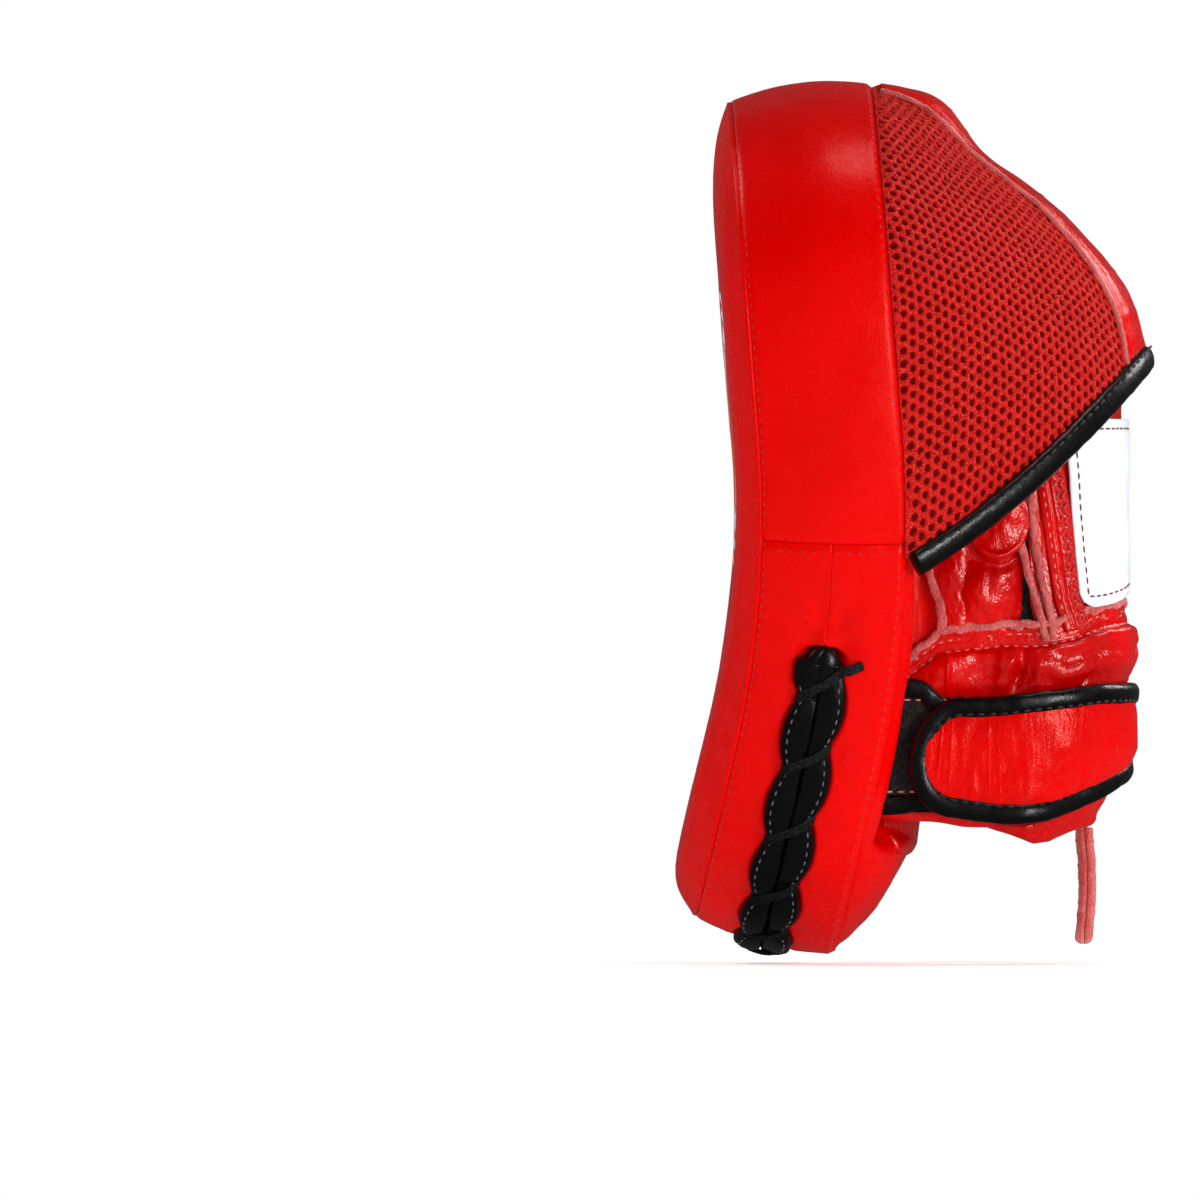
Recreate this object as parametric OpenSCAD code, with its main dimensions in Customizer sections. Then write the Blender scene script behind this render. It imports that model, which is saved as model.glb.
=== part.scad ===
// Curved focus mitt (coach's hook-and-jab pad) for the right hand.
// Frame: +Z runs up the fingers, -Y is the striking face, +X is the thumb side.
// The origin is the middle of the mouth that the hand goes in by. Millimetres.

/* [Pad] */
// Radius of the bend in the striking face, measured at the face seam
bend_radius = 307; // [280:1:340]
// Tilt of the straight upper run of the pad
bend_up = 4.5; // [3:0.5:6]
// Tilt of the straight lower run of the pad
bend_down = 13; // [10:0.5:15]
// Half of the widest width at the face seam
half_width = 84.5; // [82:0.5:88]
// Length from the middle of the bend to the top of the face seam
pad_top = 126; // [122:0.5:128]
// Length from the middle of the bend to the bottom of the face seam
pad_bottom = 120; // [116:0.5:122]
// Depth of the side wall from the face seam to the back seam
wall_depth = 44; // [43:0.5:46]
// How much wider the back seam stands than the face seam
wall_flare = 2; // [1.5:0.5:4]
// How far the face stands in front of its seam
face_crown = 6.5; // [5:0.5:8]

/* [Materials] */
// Thickness of the cowhide covers
leather = 1.5; // [1.2:0.1:1.8]
// Thickness of the spacer mesh
mesh_thick = 2.4; // [2:0.1:3]

/* [Lacing] */
// Radius of each leather roll along the lacing slit
roll_radius = 3.5; // [3:0.1:3.6]
// Radius of the lace
lace_radius = 0.75; // [0.6:0.05:0.8]
// Turns that the lace makes round the two rolls
lace_turns = 13; // [10:1:14]

/* [Hand pocket] */
// Half of the width of the wrist cuff
cuff_half = 46; // [44:1:48]
// Corner radius of the wrist cuff
cuff_corner = 30; // [26:1:34]
// Height of the wrist strap
strap_height = 42; // [38:1:44]
// Half of the width of the leather spine over the fingers
spine_half = 25; // [22:1:28]
// Angle round the cuff's corner where the strap hinges
hinge_angle = 45; // [35:1:55]

/* [Hidden] */

gap = 0.3;              // clearance between pieces that are sewn or laid together
seam_v = -6;            // height along the pad of the seam between the two gussets
slit_v = -34;           // height along the pad where the lacing slit ends
slit_half = 10.2;       // half of the lacing slit's width
slit_w = 22;            // depth of the lacing slit's middle
foam_inset = 3.2;       // the foam's outline inside the face seam
face_y = -68;           // Y of the face seam at the middle of the bend
bend_z = 90;            // Z of the middle of the bend
bend_y = face_y - bend_radius;
back_w = wall_depth + gap;
rear_w = back_w + leather + gap;   // depth at which the hand pocket starts

top_r = 134;
corner_r = 66;
side_r = 343;
toe_r = 60;
top_c = [0, pad_top - top_r];
corner_c = [half_width - corner_r,
    top_c.y + sqrt((top_r - corner_r)^2 - (half_width - corner_r)^2)];
side_c = [half_width - side_r, corner_c.y];
toe_c = [0, toe_r - pad_bottom];
corner_a = atan2(corner_c.y - top_c.y, corner_c.x);
toe_d = toe_c - side_c;
toe_a = atan2(toe_d.y, toe_d.x) + acos((side_r - toe_r) / norm(toe_d));
seam_a = asin((seam_v - side_c.y) / side_r);
slit_a = asin((slit_v - side_c.y) / side_r);
cut_a = asin((slit_v + 2 - side_c.y) / side_r);

// ---- small helpers -------------------------------------------------------

function clamp(x, lo, hi) = min(max(x, lo), hi);
function mix(a, b, t) = a + (b - a) * t;
function flat(lists) = [for (l = lists) each l];
function unit(v) = v / max(norm(v), 1e-9);
function reversed(l) = [for (i = [len(l) - 1 : -1 : 0]) l[i]];
function flip_x(p) = [-p.x, p.y, p.z];

// A smooth curve through points, with t from 0 to 1
function spline(points, t) =
    let (n = len(points) - 1, s = clamp(t, 0, 1) * n, i = min(floor(s), n - 1), f = s - i,
         p0 = i > 0 ? points[i - 1] : 2 * points[i] - points[i + 1],
         p1 = points[i], p2 = points[i + 1],
         p3 = i + 2 <= n ? points[i + 2] : 2 * p2 - p1)
    p1 + 0.5 * f * ((p2 - p0) + f * ((2 * p0 - 5 * p1 + 4 * p2 - p3)
        + f * (3 * (p1 - p2) + p3 - p0)));

// The unit normal of a grid of points at row i, column j
function grid_normal(g, i, j) =
    let (n = len(g) - 1, m = len(g[0]) - 1)
    unit(cross(g[min(i + 1, n)][j] - g[max(i - 1, 0)][j],
               g[i][min(j + 1, m)] - g[i][max(j - 1, 0)]));

function quad(a, b, c, d) = [[a, b, c], [a, c, d]];

// A closed solid between a grid of points and the same grid moved back by thick
module sheet(g, thick) {
    n = len(g);
    m = len(g[0]);
    count = n * m;
    back = [for (i = [0 : n - 1]) [for (j = [0 : m - 1])
        g[i][j] - thick * grid_normal(g, i, j)]];
    function at(i, j, side) = side * count + i * m + j;
    polyhedron(
        points = concat(flat(g), flat(back)),
        faces = flat(concat(
            [for (i = [0 : n - 2], j = [0 : m - 2])
                quad(at(i, j, 0), at(i, j + 1, 0), at(i + 1, j + 1, 0), at(i + 1, j, 0))],
            [for (i = [0 : n - 2], j = [0 : m - 2])
                quad(at(i, j, 1), at(i + 1, j, 1), at(i + 1, j + 1, 1), at(i, j + 1, 1))],
            [for (i = [0 : n - 2])
                quad(at(i, 0, 0), at(i + 1, 0, 0), at(i + 1, 0, 1), at(i, 0, 1))],
            [for (i = [0 : n - 2])
                quad(at(i, m - 1, 0), at(i, m - 1, 1), at(i + 1, m - 1, 1), at(i + 1, m - 1, 0))],
            [for (j = [0 : m - 2])
                quad(at(0, j, 0), at(0, j, 1), at(0, j + 1, 1), at(0, j + 1, 0))],
            [for (j = [0 : m - 2])
                quad(at(n - 1, j, 0), at(n - 1, j + 1, 0), at(n - 1, j + 1, 1), at(n - 1, j, 1))])));
}

// A tube through rings of points, closed by a fan at each end
module tube(rings) {
    n = len(rings);
    m = len(rings[0]);
    middle = function(r) [for (k = [0 : 2]) (min([for (p = r) p[k]]) + max([for (p = r) p[k]])) / 2];
    polyhedron(
        points = concat(flat(rings), [middle(rings[0]), middle(rings[n - 1])]),
        faces = concat(
            flat([for (i = [0 : n - 2], j = [0 : m - 1])
                quad(i * m + j, i * m + (j + 1) % m, (i + 1) * m + (j + 1) % m, (i + 1) * m + j)]),
            [for (j = [0 : m - 1]) [n * m, (j + 1) % m, j]],
            [for (j = [0 : m - 1]) [n * m + 1, (n - 1) * m + j, (n - 1) * m + (j + 1) % m]]));
}

// ---- the pad's own space -------------------------------------------------

// x across, v up along the bent pad, w back from the face seam
function pad(x, v, w) =
    let (a = clamp(v / bend_radius * 180 / PI, -bend_down, bend_up),
         rest = v - bend_radius * a * PI / 180, r = bend_radius + w)
    [x, bend_y + r * cos(a) - rest * sin(a), bend_z + r * sin(a) + rest * cos(a)];

// Y of the pad's surface at depth w and height z
function pad_y(z, w) =
    let (r = bend_radius + w, a = clamp(asin(clamp((z - bend_z) / r, -1, 1)), -bend_down, bend_up),
         rest = (z - bend_z - r * sin(a)) / cos(a))
    bend_y + r * cos(a) - rest * sin(a);

// A station on the outline: an arc's centre and radius, and the angle of its normal
function arc_run(c, r, a, b, n) = [for (i = [0 : n]) [c.x, c.y, r, mix(a, b, i / n)]];
function at_station(e, d) = [e[0] + (e[2] + d) * cos(e[3]), e[1] + (e[2] + d) * sin(e[3])];

// Right half of the outline, from the toe up to the top
toe_run = arc_run(toe_c, toe_r, -87, toe_a, 8);
straight_run = [for (t = [1, 2]) mix([toe_c.x, toe_c.y, toe_r, toe_a],
    [side_c.x, side_c.y, side_r, toe_a], t / 3)];
low_side_run = arc_run(side_c, side_r, toe_a, seam_a - 0.03, 4);
high_side_run = arc_run(side_c, side_r, seam_a + 0.03, 0, 4);
corner_run = arc_run(corner_c, corner_r, 0, corner_a, 7);
top_run = arc_run(top_c, top_r, corner_a, 88, 4);
lower_rim = concat(toe_run, straight_run, low_side_run);
upper_rim = concat(high_side_run,
    [for (i = [1 : len(corner_run) - 1]) corner_run[i]],
    [for (i = [1 : len(top_run) - 1]) top_run[i]]);
slit_run = concat([for (e = lower_rim) if (at_station(e, 0).y < slit_v - 4) e],
    [[side_c.x, side_c.y, side_r, slit_a]]);
half_rim = concat(lower_rim, [for (i = [1 : len(upper_rim) - 1]) upper_rim[i]]);

function rim_point(e, d, w, side = 1) =
    let (p = at_station(e, d)) pad(side * p.x, p.y, w);
// A run of stations on both sides of the middle, as [station, side] pairs
function over_top(run) = concat([for (e = run) [e, 1]], [for (e = reversed(run)) [e, -1]]);
function under_toe(run) = concat([for (e = reversed(run)) [e, -1]], [for (e = run) [e, 1]]);

// How far the side wall stands out from the face seam at depth w
function wall_bulge(w) =
    let (t = clamp(w / wall_depth, 0, 1)) wall_flare * t + 3 * sin(180 * t);
wall_steps = [0, 5, 11, 18, 26, 33, 39, wall_depth];

// ---- the pad -------------------------------------------------------------

// Rings of the outline from front to back, closed by straight rows across
module ring_stack(profile) {
    m = len(half_rim);
    n = len(profile);
    loops = [for (p = profile) [for (s = over_top(half_rim)) rim_point(s[0], p[0], p[1], s[1])]];
    function at(k, i) = k * 2 * m + i % (2 * m);
    polyhedron(
        points = flat(loops),
        faces = flat(concat(
            [for (k = [0 : n - 2], i = [0 : 2 * m - 1])
                quad(at(k, i), at(k, i + 1), at(k + 1, i + 1), at(k + 1, i))],
            [for (i = [0 : m - 2])
                quad(at(0, i), at(0, 2 * m - 1 - i), at(0, 2 * m - 2 - i), at(0, i + 1))],
            [for (i = [0 : m - 2])
                quad(at(n - 1, i), at(n - 1, i + 1), at(n - 1, 2 * m - 2 - i),
                    at(n - 1, 2 * m - 1 - i))])));
}

module face_cover() {
    t = leather;
    color("red") ring_stack([
        [-16, -face_crown], [-7, -face_crown + 0.6], [-2.4, -face_crown + 2.6], [0, -gap],
        [-t, -gap], [-2.4 - t, -face_crown + 3.6], [-7 - t, -face_crown + 0.6 + t],
        [-16 - t, -face_crown + t]]);
}

module gusset_upper() {
    color("red") sheet(reversed([for (s = over_top(upper_rim))
        [for (w = wall_steps) rim_point(s[0], wall_bulge(w), w, s[1])]]), leather);
}

module slit_cutter() {
    cut_run = concat(slit_run, [[side_c.x, side_c.y, side_r, cut_a]]);
    sheet(reversed([for (s = under_toe(cut_run))
        [for (w = [slit_w - slit_half, slit_w + slit_half]) rim_point(s[0], 14, w, s[1])]]), 22);
}

module gusset_lower() {
    color("red") difference() {
        sheet(reversed([for (s = under_toe(lower_rim))
            [for (w = wall_steps) rim_point(s[0], wall_bulge(w), w, s[1])]]), leather);
        slit_cutter();
    }
}

module back_cover() {
    color("red") ring_stack([
        [wall_flare, back_w], [wall_flare - 1, back_w + leather]]);
}

// A layer of foam from depth a to depth b
module foam_layer(a, b) {
    ring_stack([[-foam_inset, a], [-foam_inset, b]]);
}

module foam_front() {
    t = face_crown - leather - gap;
    color("khaki") ring_stack([[-17.5, -t], [-5, -t + 2], [-foam_inset - leather, 0],
        [-foam_inset, 0.5], [-foam_inset, 13]]);
}

module foam_core() {
    color("dimgray") foam_layer(13 + gap, 30);
}

module foam_rear() {
    color("khaki") foam_layer(30 + gap, wall_depth - 0.6);
}

// ---- the lacing ----------------------------------------------------------

slit_stations = under_toe(slit_run);
roll_lift = 3.7;        // the rolls' middle line outside the face seam

// A ring of a roll or lace round a point of the lacing
function lacing_ring(s, d, w, r, sides) =
    let (c = rim_point(s[0], d, w, s[1]),
         out = unit(rim_point(s[0], d + 1, w, s[1]) - c),
         back = unit(rim_point(s[0], d, w + 1, s[1]) - c))
    [for (k = [0 : sides - 1]) c + r * (cos(360 * k / sides) * out + sin(360 * k / sides) * back)];

module lacing_roll(shift) {
    color("black") tube(reversed([for (s = slit_stations)
        lacing_ring(s, roll_lift, slit_w + shift, roll_radius, 10)]));
}
module lacing_roll_front() { lacing_roll(-roll_radius - 0.3); }
module lacing_roll_rear() { lacing_roll(roll_radius + 0.3); }

module lacing_tongue() {
    color("black") sheet(reversed([for (s = slit_stations)
        [for (w = [slit_w - 13, slit_w, slit_w + 13]) rim_point(s[0], -2.1, w, s[1])]]), 0.8);
}

// The lace winds round both rolls, at one distance from whichever roll it passes
lace_turn_steps = 12;
lace_steps = lace_turn_steps * lace_turns;
lace_reach = roll_radius + lace_radius + 0.5;
function lace_station(t) =
    let (n = len(slit_stations) - 1, x = t * n, i = min(floor(x), n - 1))
    [slit_stations[i], slit_stations[i + 1], x - i];
function lace_point(t) =
    let (s = lace_station(mix(0.02, 0.98, t)), a = 360 * lace_turns * t + 15,
         d = roll_lift + lace_reach * cos(a),
         w = slit_w + lace_reach * sin(a) + (roll_radius + gap) * clamp(sin(a) / sin(15), -1, 1))
    mix(rim_point(s[0][0], d, w, s[0][1]), rim_point(s[1][0], d, w, s[1][1]), s[2]);
function lace_ring(t) =
    let (c = lace_point(t), along = unit(lace_point(t + 0.001) - lace_point(t - 0.001)),
         side = unit(cross(along, [0.3, 1, 0.2])), up = cross(along, side))
    [for (k = [0 : 5]) c + lace_radius * (cos(60 * k) * side + sin(60 * k) * up)];

module lace() {
    color("black") tube(reversed([for (i = [0 : lace_steps]) lace_ring(i / lace_steps)]));
}

// ---- the hood over the fingers -------------------------------------------

hood_end_a = asin((-13 - side_c.y) / side_r);   // where the hood leaves the pad's side
hood_rim = concat(reversed([for (e = half_rim) if (e[3] >= hood_end_a
    && at_station(e, 0).y > -13) e]), [[side_c.x, side_c.y, side_r, hood_end_a]]);
hood_lift = rear_w + 0.4;
hood_top = rim_point(hood_rim[0], wall_flare - 1, hood_lift);
// The spine's profile in Y and Z, from the top of the pad back to the open edge
spine_line = concat([[hood_top.y, hood_top.z]],
    [[-14, 215], [0, 199], [21, 183], [41, 160], [49, 137]]);
hood_pull = 0.6;        // how far out the hood's sides stay before they turn in

function hood_base(u) =
    let (n = len(hood_rim) - 1, x = clamp(u, 0, 1) * n, i = min(floor(x), n - 1),
         p = mix(rim_point(hood_rim[i], wall_flare - 1, hood_lift),
                 rim_point(hood_rim[i + 1], wall_flare - 1, hood_lift), x - i))
    p;
// A point of the hood: u runs from the top to the open edge, t from the pad to the spine
function hood(u, t) =
    let (b = hood_base(u), s = spline(spine_line, u),
         q = [hood_pull * b.x, s.x, s.y], m = [0, s.x, s.y])
    (1 - t)^2 * b + 2 * t * (1 - t) * q + t^2 * m;
// The t at which the hood is x from the middle
function hood_t(u, x) =
    let (r = clamp(x / max(hood_base(u).x, 1), 0, 1)) -2 + sqrt(9 - 5 * r);

mesh_from = 0.105;
hood_edge = 0.94;       // where the binding starts

module hood_mesh(side) {
    g = [for (i = [0 : 14]) let (u = mix(mesh_from, hood_edge, i / 14))
        [for (j = [0 : 8]) hood(u, hood_t(u, spine_half + 0.8) * j / 8)]];
    color("firebrick")
    if (side > 0) sheet([for (row = g) reversed(row)], mesh_thick);
    else sheet([for (row = g) [for (p = row) flip_x(p)]], mesh_thick);
}
module hood_mesh_thumb_side() { hood_mesh(1); }
module hood_mesh_outer_side() { hood_mesh(-1); }

module hood_spine() {
    color("red") sheet([for (i = [0 : 16]) let (u = mix(0.03, hood_edge, i / 16))
        let (right = [for (j = [0 : 4]) hood(u, mix(hood_t(u, spine_half), 1, j / 4))])
        concat([for (p = right) flip_x(p)], reversed([for (j = [0 : 3]) right[j]]))], leather);
}

module hood_binding() {
    over = 1.1;
    g = [for (u = [hood_edge + 0.004, 1])
        let (right = [for (j = [0 : 10]) hood(u, j / 10)])
        concat([for (p = right) flip_x(p)], reversed([for (j = [0 : 9]) right[j]]))];
    raised = [for (i = [0 : 1]) [for (j = [0 : len(g[0]) - 1]) g[i][j] + over * grid_normal(g, i, j)]];
    color("black") sheet(raised, mesh_thick + 2 * over);
}

// ---- the hand pocket -----------------------------------------------------

// Y of the back of the hand and half width of the glove at height z
function glove_back(z) = lookup(z, [[-8, 34], [4, 37], [12, 38.5], [36, 39], [48, 43], [54, 44], [66, 41.5], [140, 41]]);
function glove_half(z) = lookup(z, [[-8, cuff_half - 4], [20, cuff_half], [140, cuff_half - 1]]);

// A point round the glove at height z: q is 0 at the pad on the thumb side,
// 1 where the side ends, 2 where the corner ends, and is mirrored past 3, the middle
// (the size is read at height zs, so that the strap can be upright)
function glove(q, z, d, zs = undef) =
    let (side = q > 3 ? -1 : 1, k = q > 3 ? 6 - q : q, zr = is_undef(zs) ? z : zs,
         h = glove_half(zr) + d, b = glove_back(zr) + d, r = cuff_corner + d,
         y0 = pad_y(z, rear_w + 0.6), yc = b - r, a = 90 * clamp(k - 1, 0, 1))
    k <= 1 ? [side * h, mix(y0, yc, k), z]
    : k <= 2 ? [side * (h - r + r * cos(a)), yc + r * sin(a), z]
    : [side * (h - r) * (3 - k), b, z];
function glove_grid(qs, zs, d) = [for (z = zs) [for (q = qs) glove(q, z, d)]];
full_wrap = [0, 0.5, 1, 1.2, 1.4, 1.6, 1.8, 2, 3, 4, 4.2, 4.4, 4.6, 4.8, 5, 5.5, 6];
cuff_low = -4;
cuff_high = 60;
// Heights from a to b, with a row wherever the back of the pocket changes slope
function cuff_rows(a, b) = concat([a], [for (z = [4, 12, 20, 36, 48, 54]) if (z > a && z < b) z], [b]);

module cuff_shell() {
    color("red") sheet(reversed(glove_grid(full_wrap, cuff_rows(cuff_low, cuff_high), 0)), leather);
}
module cuff_padding() {
    color("khaki") sheet(reversed(glove_grid(full_wrap,
        cuff_rows(cuff_low + 1, cuff_high - 1), -leather - gap)), 4);
}
module cuff_lining() {
    color("black") sheet(reversed(glove_grid(full_wrap,
        cuff_rows(cuff_low, cuff_high), -leather - 4 - 2 * gap)), 0.8);
}

back_wrap = [1.05, 1.2, 1.4, 1.6, 1.8, 2, 3, 4, 4.2, 4.4, 4.6, 4.8, 5, 5.5, 6];
panel_low = cuff_high + 0.6;
panel_high = 128;
label_rows = [66, 84, 102, 120];

module hand_back_panel() {
    color("red") sheet(reversed(glove_grid(back_wrap,
        concat([panel_low], label_rows, [panel_high]), 0)), leather);
}
module hand_back_lining() {
    color("black") sheet(reversed(glove_grid(back_wrap,
        concat([panel_low], label_rows, [panel_high]), -leather - gap)), 1.2);
}
module seam_strip(qs) {
    color("red") sheet(reversed(glove_grid(qs,
        concat([panel_low], label_rows, [panel_high - 4]), leather + gap)),
        leather);
}
module seam_strip_thumb_side() { seam_strip([1.06, 1.12, 1.18, 1.25]); }
module seam_strip_outer_side() { seam_strip([4.75, 4.82, 4.88, 4.94]); }
module label_patch() {
    color("white") sheet(reversed(glove_grid([1.31, 1.4, 1.6, 1.8, 2, 3, 4, 4.2, 4.4, 4.6, 4.69],
        label_rows, leather * 0.8 + gap)), leather * 0.8);
}

thumb_y = -2;
thumb_z = 62;
module thumb_stall() {
    // a thumb-shaped shell, open at the bottom, on the thumb side of the pocket
    r = 13.5;
    t = leather;
    h = 32;
    color("red") translate([cuff_half - 12, thumb_y, thumb_z])
    difference() {
        rotate_extrude($fn = 48) union() {
            square([r, h]);
            translate([0, h]) intersection() { circle(r); square(r); }
        }
        rotate_extrude($fn = 48) union() {
            translate([0, -1]) square([r - t, h + 1]);
            translate([0, h]) intersection() { circle(r - t); square(r - t); }
        }
    }
}
module thumb_gap_liner() {
    // the black cloth seen between the thumb and the back of the hand, sewn inside the lining
    color("black") sheet(reversed(glove_grid([0.96, 1.05, 1.2, 1.4],
        [panel_low, 66, 84, 112], -leather - 1.2 - 2 * gap)), 1);
}

module palm_panel() {
    // the leather that the palm lies against, on the pad's back
    color("red") sheet([for (v = [-96, -80, -62, -40, -20, 0, 20, 40])
        [for (x = [-1, -0.5, 0, 0.5, 1]) pad(x * (cuff_half - 11), v, rear_w + leather)]], leather - gap);
}

// ---- the wrist strap -----------------------------------------------------

strap_z = 21.5;
base_d = gap;                         // layers outward from the cuff
tape_d = base_d + 1.2 + gap;
hook_d = tape_d + 1.2 + gap;
strap_d = hook_d + 1 + gap;
strap_thick = 2;
strap_over = 0.9;                     // the binding's extra thickness on each side
binding_width = 6;

module loop_base() {
    color("black") sheet(reversed(glove_grid([0.02, 0.3, 0.6, 0.9], cuff_rows(3, 42),
        base_d + 1.2)), 1.2);
}
module loop_tape() {
    color("black") sheet(reversed(glove_grid([0.03, 0.3, 0.6, 0.85], cuff_rows(8, 38),
        tape_d + 1.2)), 1.2);
}

// Half height of the strap where its round tip starts, q along the glove
tip_q = 0.16;
tip_end_q = 0.56;
function strap_half(q, inset) =
    let (t = clamp((q - tip_q) / (tip_end_q - tip_q), 0, 1),
         full = mix(strap_height * 0.43, strap_height / 2, clamp((q - tip_end_q) / 1, 0, 1)))
    max(full * sqrt(1 - (1 - t)^2) - inset, 0.6);
function strap_mid(q) = mix(strap_z - 5, strap_z + 1, clamp(q, 0, 1.5) / 1.5);
function strap_row(q, k, inset, d) =
    let (h = strap_half(q, inset)) on_strap(q, strap_mid(q) + k * h, d);
function on_strap(q, z, d) = glove(q, z, d, 20);

flap_qs = [0.24, 0.28, 0.34, 0.42, 0.5, tip_end_q, 0.78, 1, 1.2, 1.4, 1 + hinge_angle / 90];
root_qs = [1 + hinge_angle / 90 + 0.02, 1.6, 1.75, 2, 3, 4, 4.25, 4.5, 4.75, 5, 5.4, 5.7];
strap_ks = [-1, -0.5, 0, 0.5, 1];

module strap_sheet(qs, inset, d, thick) {
    sheet([for (q = qs) [for (k = strap_ks) strap_row(q, k, inset, d)]], thick);
}
module strap_flap() {
    color("red") strap_sheet(flap_qs, binding_width, strap_d + strap_thick, strap_thick);
}
module strap_root() {
    color("red") strap_sheet(root_qs, binding_width, strap_d + strap_thick, strap_thick);
}
module hook_tape() {
    color("black") strap_sheet([0.34, 0.42, 0.5, tip_end_q, 0.78], binding_width + 2,
        hook_d + 1, 1);
}

// A run of the strap's edge as a flat tube: k is 1 for the upper edge, -1 for the lower
function edge_ring(q, k, outer, inner) =
    let (h0 = strap_half(q, 0), h1 = strap_half(q, binding_width - gap), m = strap_mid(q),
         q0 = q - outer, q1 = q - inner)
    [on_strap(q0, m + k * h0, strap_d - strap_over),
     on_strap(q0, m + k * h0, strap_d + strap_thick + strap_over),
     on_strap(q1, m + k * h1, strap_d + strap_thick + strap_over),
     on_strap(q1, m + k * h1, strap_d - strap_over)];

module strap_flap_binding() {
    // the leather's edge band: up one side, round the tip and back along the other
    up = [for (q = reversed([for (q = flap_qs) if (q > 0.32) q])) edge_ring(q, 1, 0, 0)];
    down = [for (q = flap_qs) if (q > 0.32) edge_ring(q, -1, 0, 0)];
    tip_out = tip_q - 0.01;
    tip_in = 0.235;
    tip = [for (a = [50, 25, 0, -25, -50])
        let (h0 = strap_half(0.34, 0) * a / 60, h1 = strap_half(0.34, binding_width - gap) * a / 60,
             m = strap_mid(tip_q), bow = 0.07 * (a / 60)^2)
        [on_strap(tip_out + bow, m + h0, strap_d - strap_over),
         on_strap(tip_out + bow, m + h0, strap_d + strap_thick + strap_over),
         on_strap(tip_in + bow * 0.2, m + h1, strap_d + strap_thick + strap_over),
         on_strap(tip_in + bow * 0.2, m + h1, strap_d - strap_over)]];
    color("black") tube(concat(up, tip, down));
}
module strap_root_binding() {
    color("black") for (k = [1, -1]) {
        rings = [for (q = root_qs) edge_ring(q, k, 0, 0)];
        if (k > 0) tube(reversed(rings));
        else tube(rings);
    }
}

// ---- the pull tab --------------------------------------------------------

tab_top = -6.5;
tab_length = 31;
tab_half = 11;
tab_thick = 4.6;
module pull_tab() {
    color("indianred") translate([0, 28 + tab_thick / 2, tab_top]) rotate([90, 0, 0])
    linear_extrude(tab_thick, center = true) union() {
        translate([-tab_half, tab_half - tab_length]) square([2 * tab_half, tab_length - tab_half]);
        intersection() {
            translate([0, tab_half - tab_length]) circle(tab_half, $fn = 48);
            translate([-tab_half, -tab_length]) square([2 * tab_half, tab_half]);
        }
    }
}

face_cover();
gusset_upper();
gusset_lower();
back_cover();
foam_front();
foam_core();
foam_rear();
lacing_roll_front();
lacing_roll_rear();
lacing_tongue();
lace();
hood_mesh_thumb_side();
hood_mesh_outer_side();
hood_spine();
hood_binding();
palm_panel();
hand_back_panel();
hand_back_lining();
seam_strip_thumb_side();
seam_strip_outer_side();
label_patch();
thumb_stall();
thumb_gap_liner();
cuff_shell();
cuff_padding();
cuff_lining();
loop_base();
loop_tape();
strap_root();
strap_root_binding();
strap_flap();
strap_flap_binding();
hook_tape();
pull_tab();
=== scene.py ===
import math

import bpy
import numpy as np
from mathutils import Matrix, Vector


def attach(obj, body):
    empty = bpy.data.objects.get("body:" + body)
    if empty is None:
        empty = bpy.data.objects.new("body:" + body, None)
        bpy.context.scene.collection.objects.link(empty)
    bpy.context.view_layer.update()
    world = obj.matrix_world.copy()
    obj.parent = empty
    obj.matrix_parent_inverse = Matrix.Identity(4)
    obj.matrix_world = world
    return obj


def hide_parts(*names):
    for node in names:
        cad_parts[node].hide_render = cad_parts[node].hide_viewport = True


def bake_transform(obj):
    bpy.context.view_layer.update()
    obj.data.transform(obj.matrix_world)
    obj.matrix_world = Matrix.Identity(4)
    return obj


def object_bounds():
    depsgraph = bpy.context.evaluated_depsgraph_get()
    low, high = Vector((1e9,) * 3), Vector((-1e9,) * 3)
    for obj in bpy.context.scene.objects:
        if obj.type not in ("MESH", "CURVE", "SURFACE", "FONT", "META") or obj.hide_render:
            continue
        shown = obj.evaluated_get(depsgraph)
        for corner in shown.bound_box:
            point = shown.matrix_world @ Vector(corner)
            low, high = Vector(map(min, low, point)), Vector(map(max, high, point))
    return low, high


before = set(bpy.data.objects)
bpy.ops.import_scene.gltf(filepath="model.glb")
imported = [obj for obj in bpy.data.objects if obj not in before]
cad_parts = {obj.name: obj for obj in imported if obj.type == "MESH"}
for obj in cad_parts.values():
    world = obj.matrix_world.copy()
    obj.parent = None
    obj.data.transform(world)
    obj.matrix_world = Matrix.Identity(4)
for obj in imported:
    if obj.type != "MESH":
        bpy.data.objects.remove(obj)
cad_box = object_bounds()

# ---- sizes shared with the CAD -------------------------------------------
BEND_R, BEND_UP, BEND_DOWN = 307.0, math.radians(4.5), math.radians(13)
FACE_Y, BEND_Z = -68.0, 90.0
BEND_Y = FACE_Y - BEND_R
HALF_W, PAD_TOP, PAD_BOTTOM, WALL, FLARE, CROWN = 84.5, 126.0, 120.0, 44.0, 2.0, 6.5
TOP_R, COR_R, SIDE_R, TOE_R = 134.0, 66.0, 343.0, 60.0
SEAM_V, SLIT_V, SLIT_W = -6.0, -34.0, 22.0
CUFF_HALF, CUFF_CORNER = 46.0, 30.0
REAR_W = WALL + 0.3 + 1.5 + 0.3
SPINE_HALF = 25.0
STRAP_H, STRAP_D = 42.0, 4.6


# ---- numbers -------------------------------------------------------------
def arr(*v):
    return np.array(v, float)


def smooth(a, b, x):
    t = np.clip((np.asarray(x, float) - a) / (b - a), 0, 1)
    return t * t * (3 - 2 * t)


def bump(x, at, width):
    """A smooth hump of height 1 at x = at."""
    return np.exp(-(((x - at) / width) ** 2))


def unit(v):
    return v / np.maximum(np.linalg.norm(v, axis=-1, keepdims=True), 1e-9)


_lattice = np.random.default_rng(11).random((256, 256)) * 2 - 1


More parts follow.
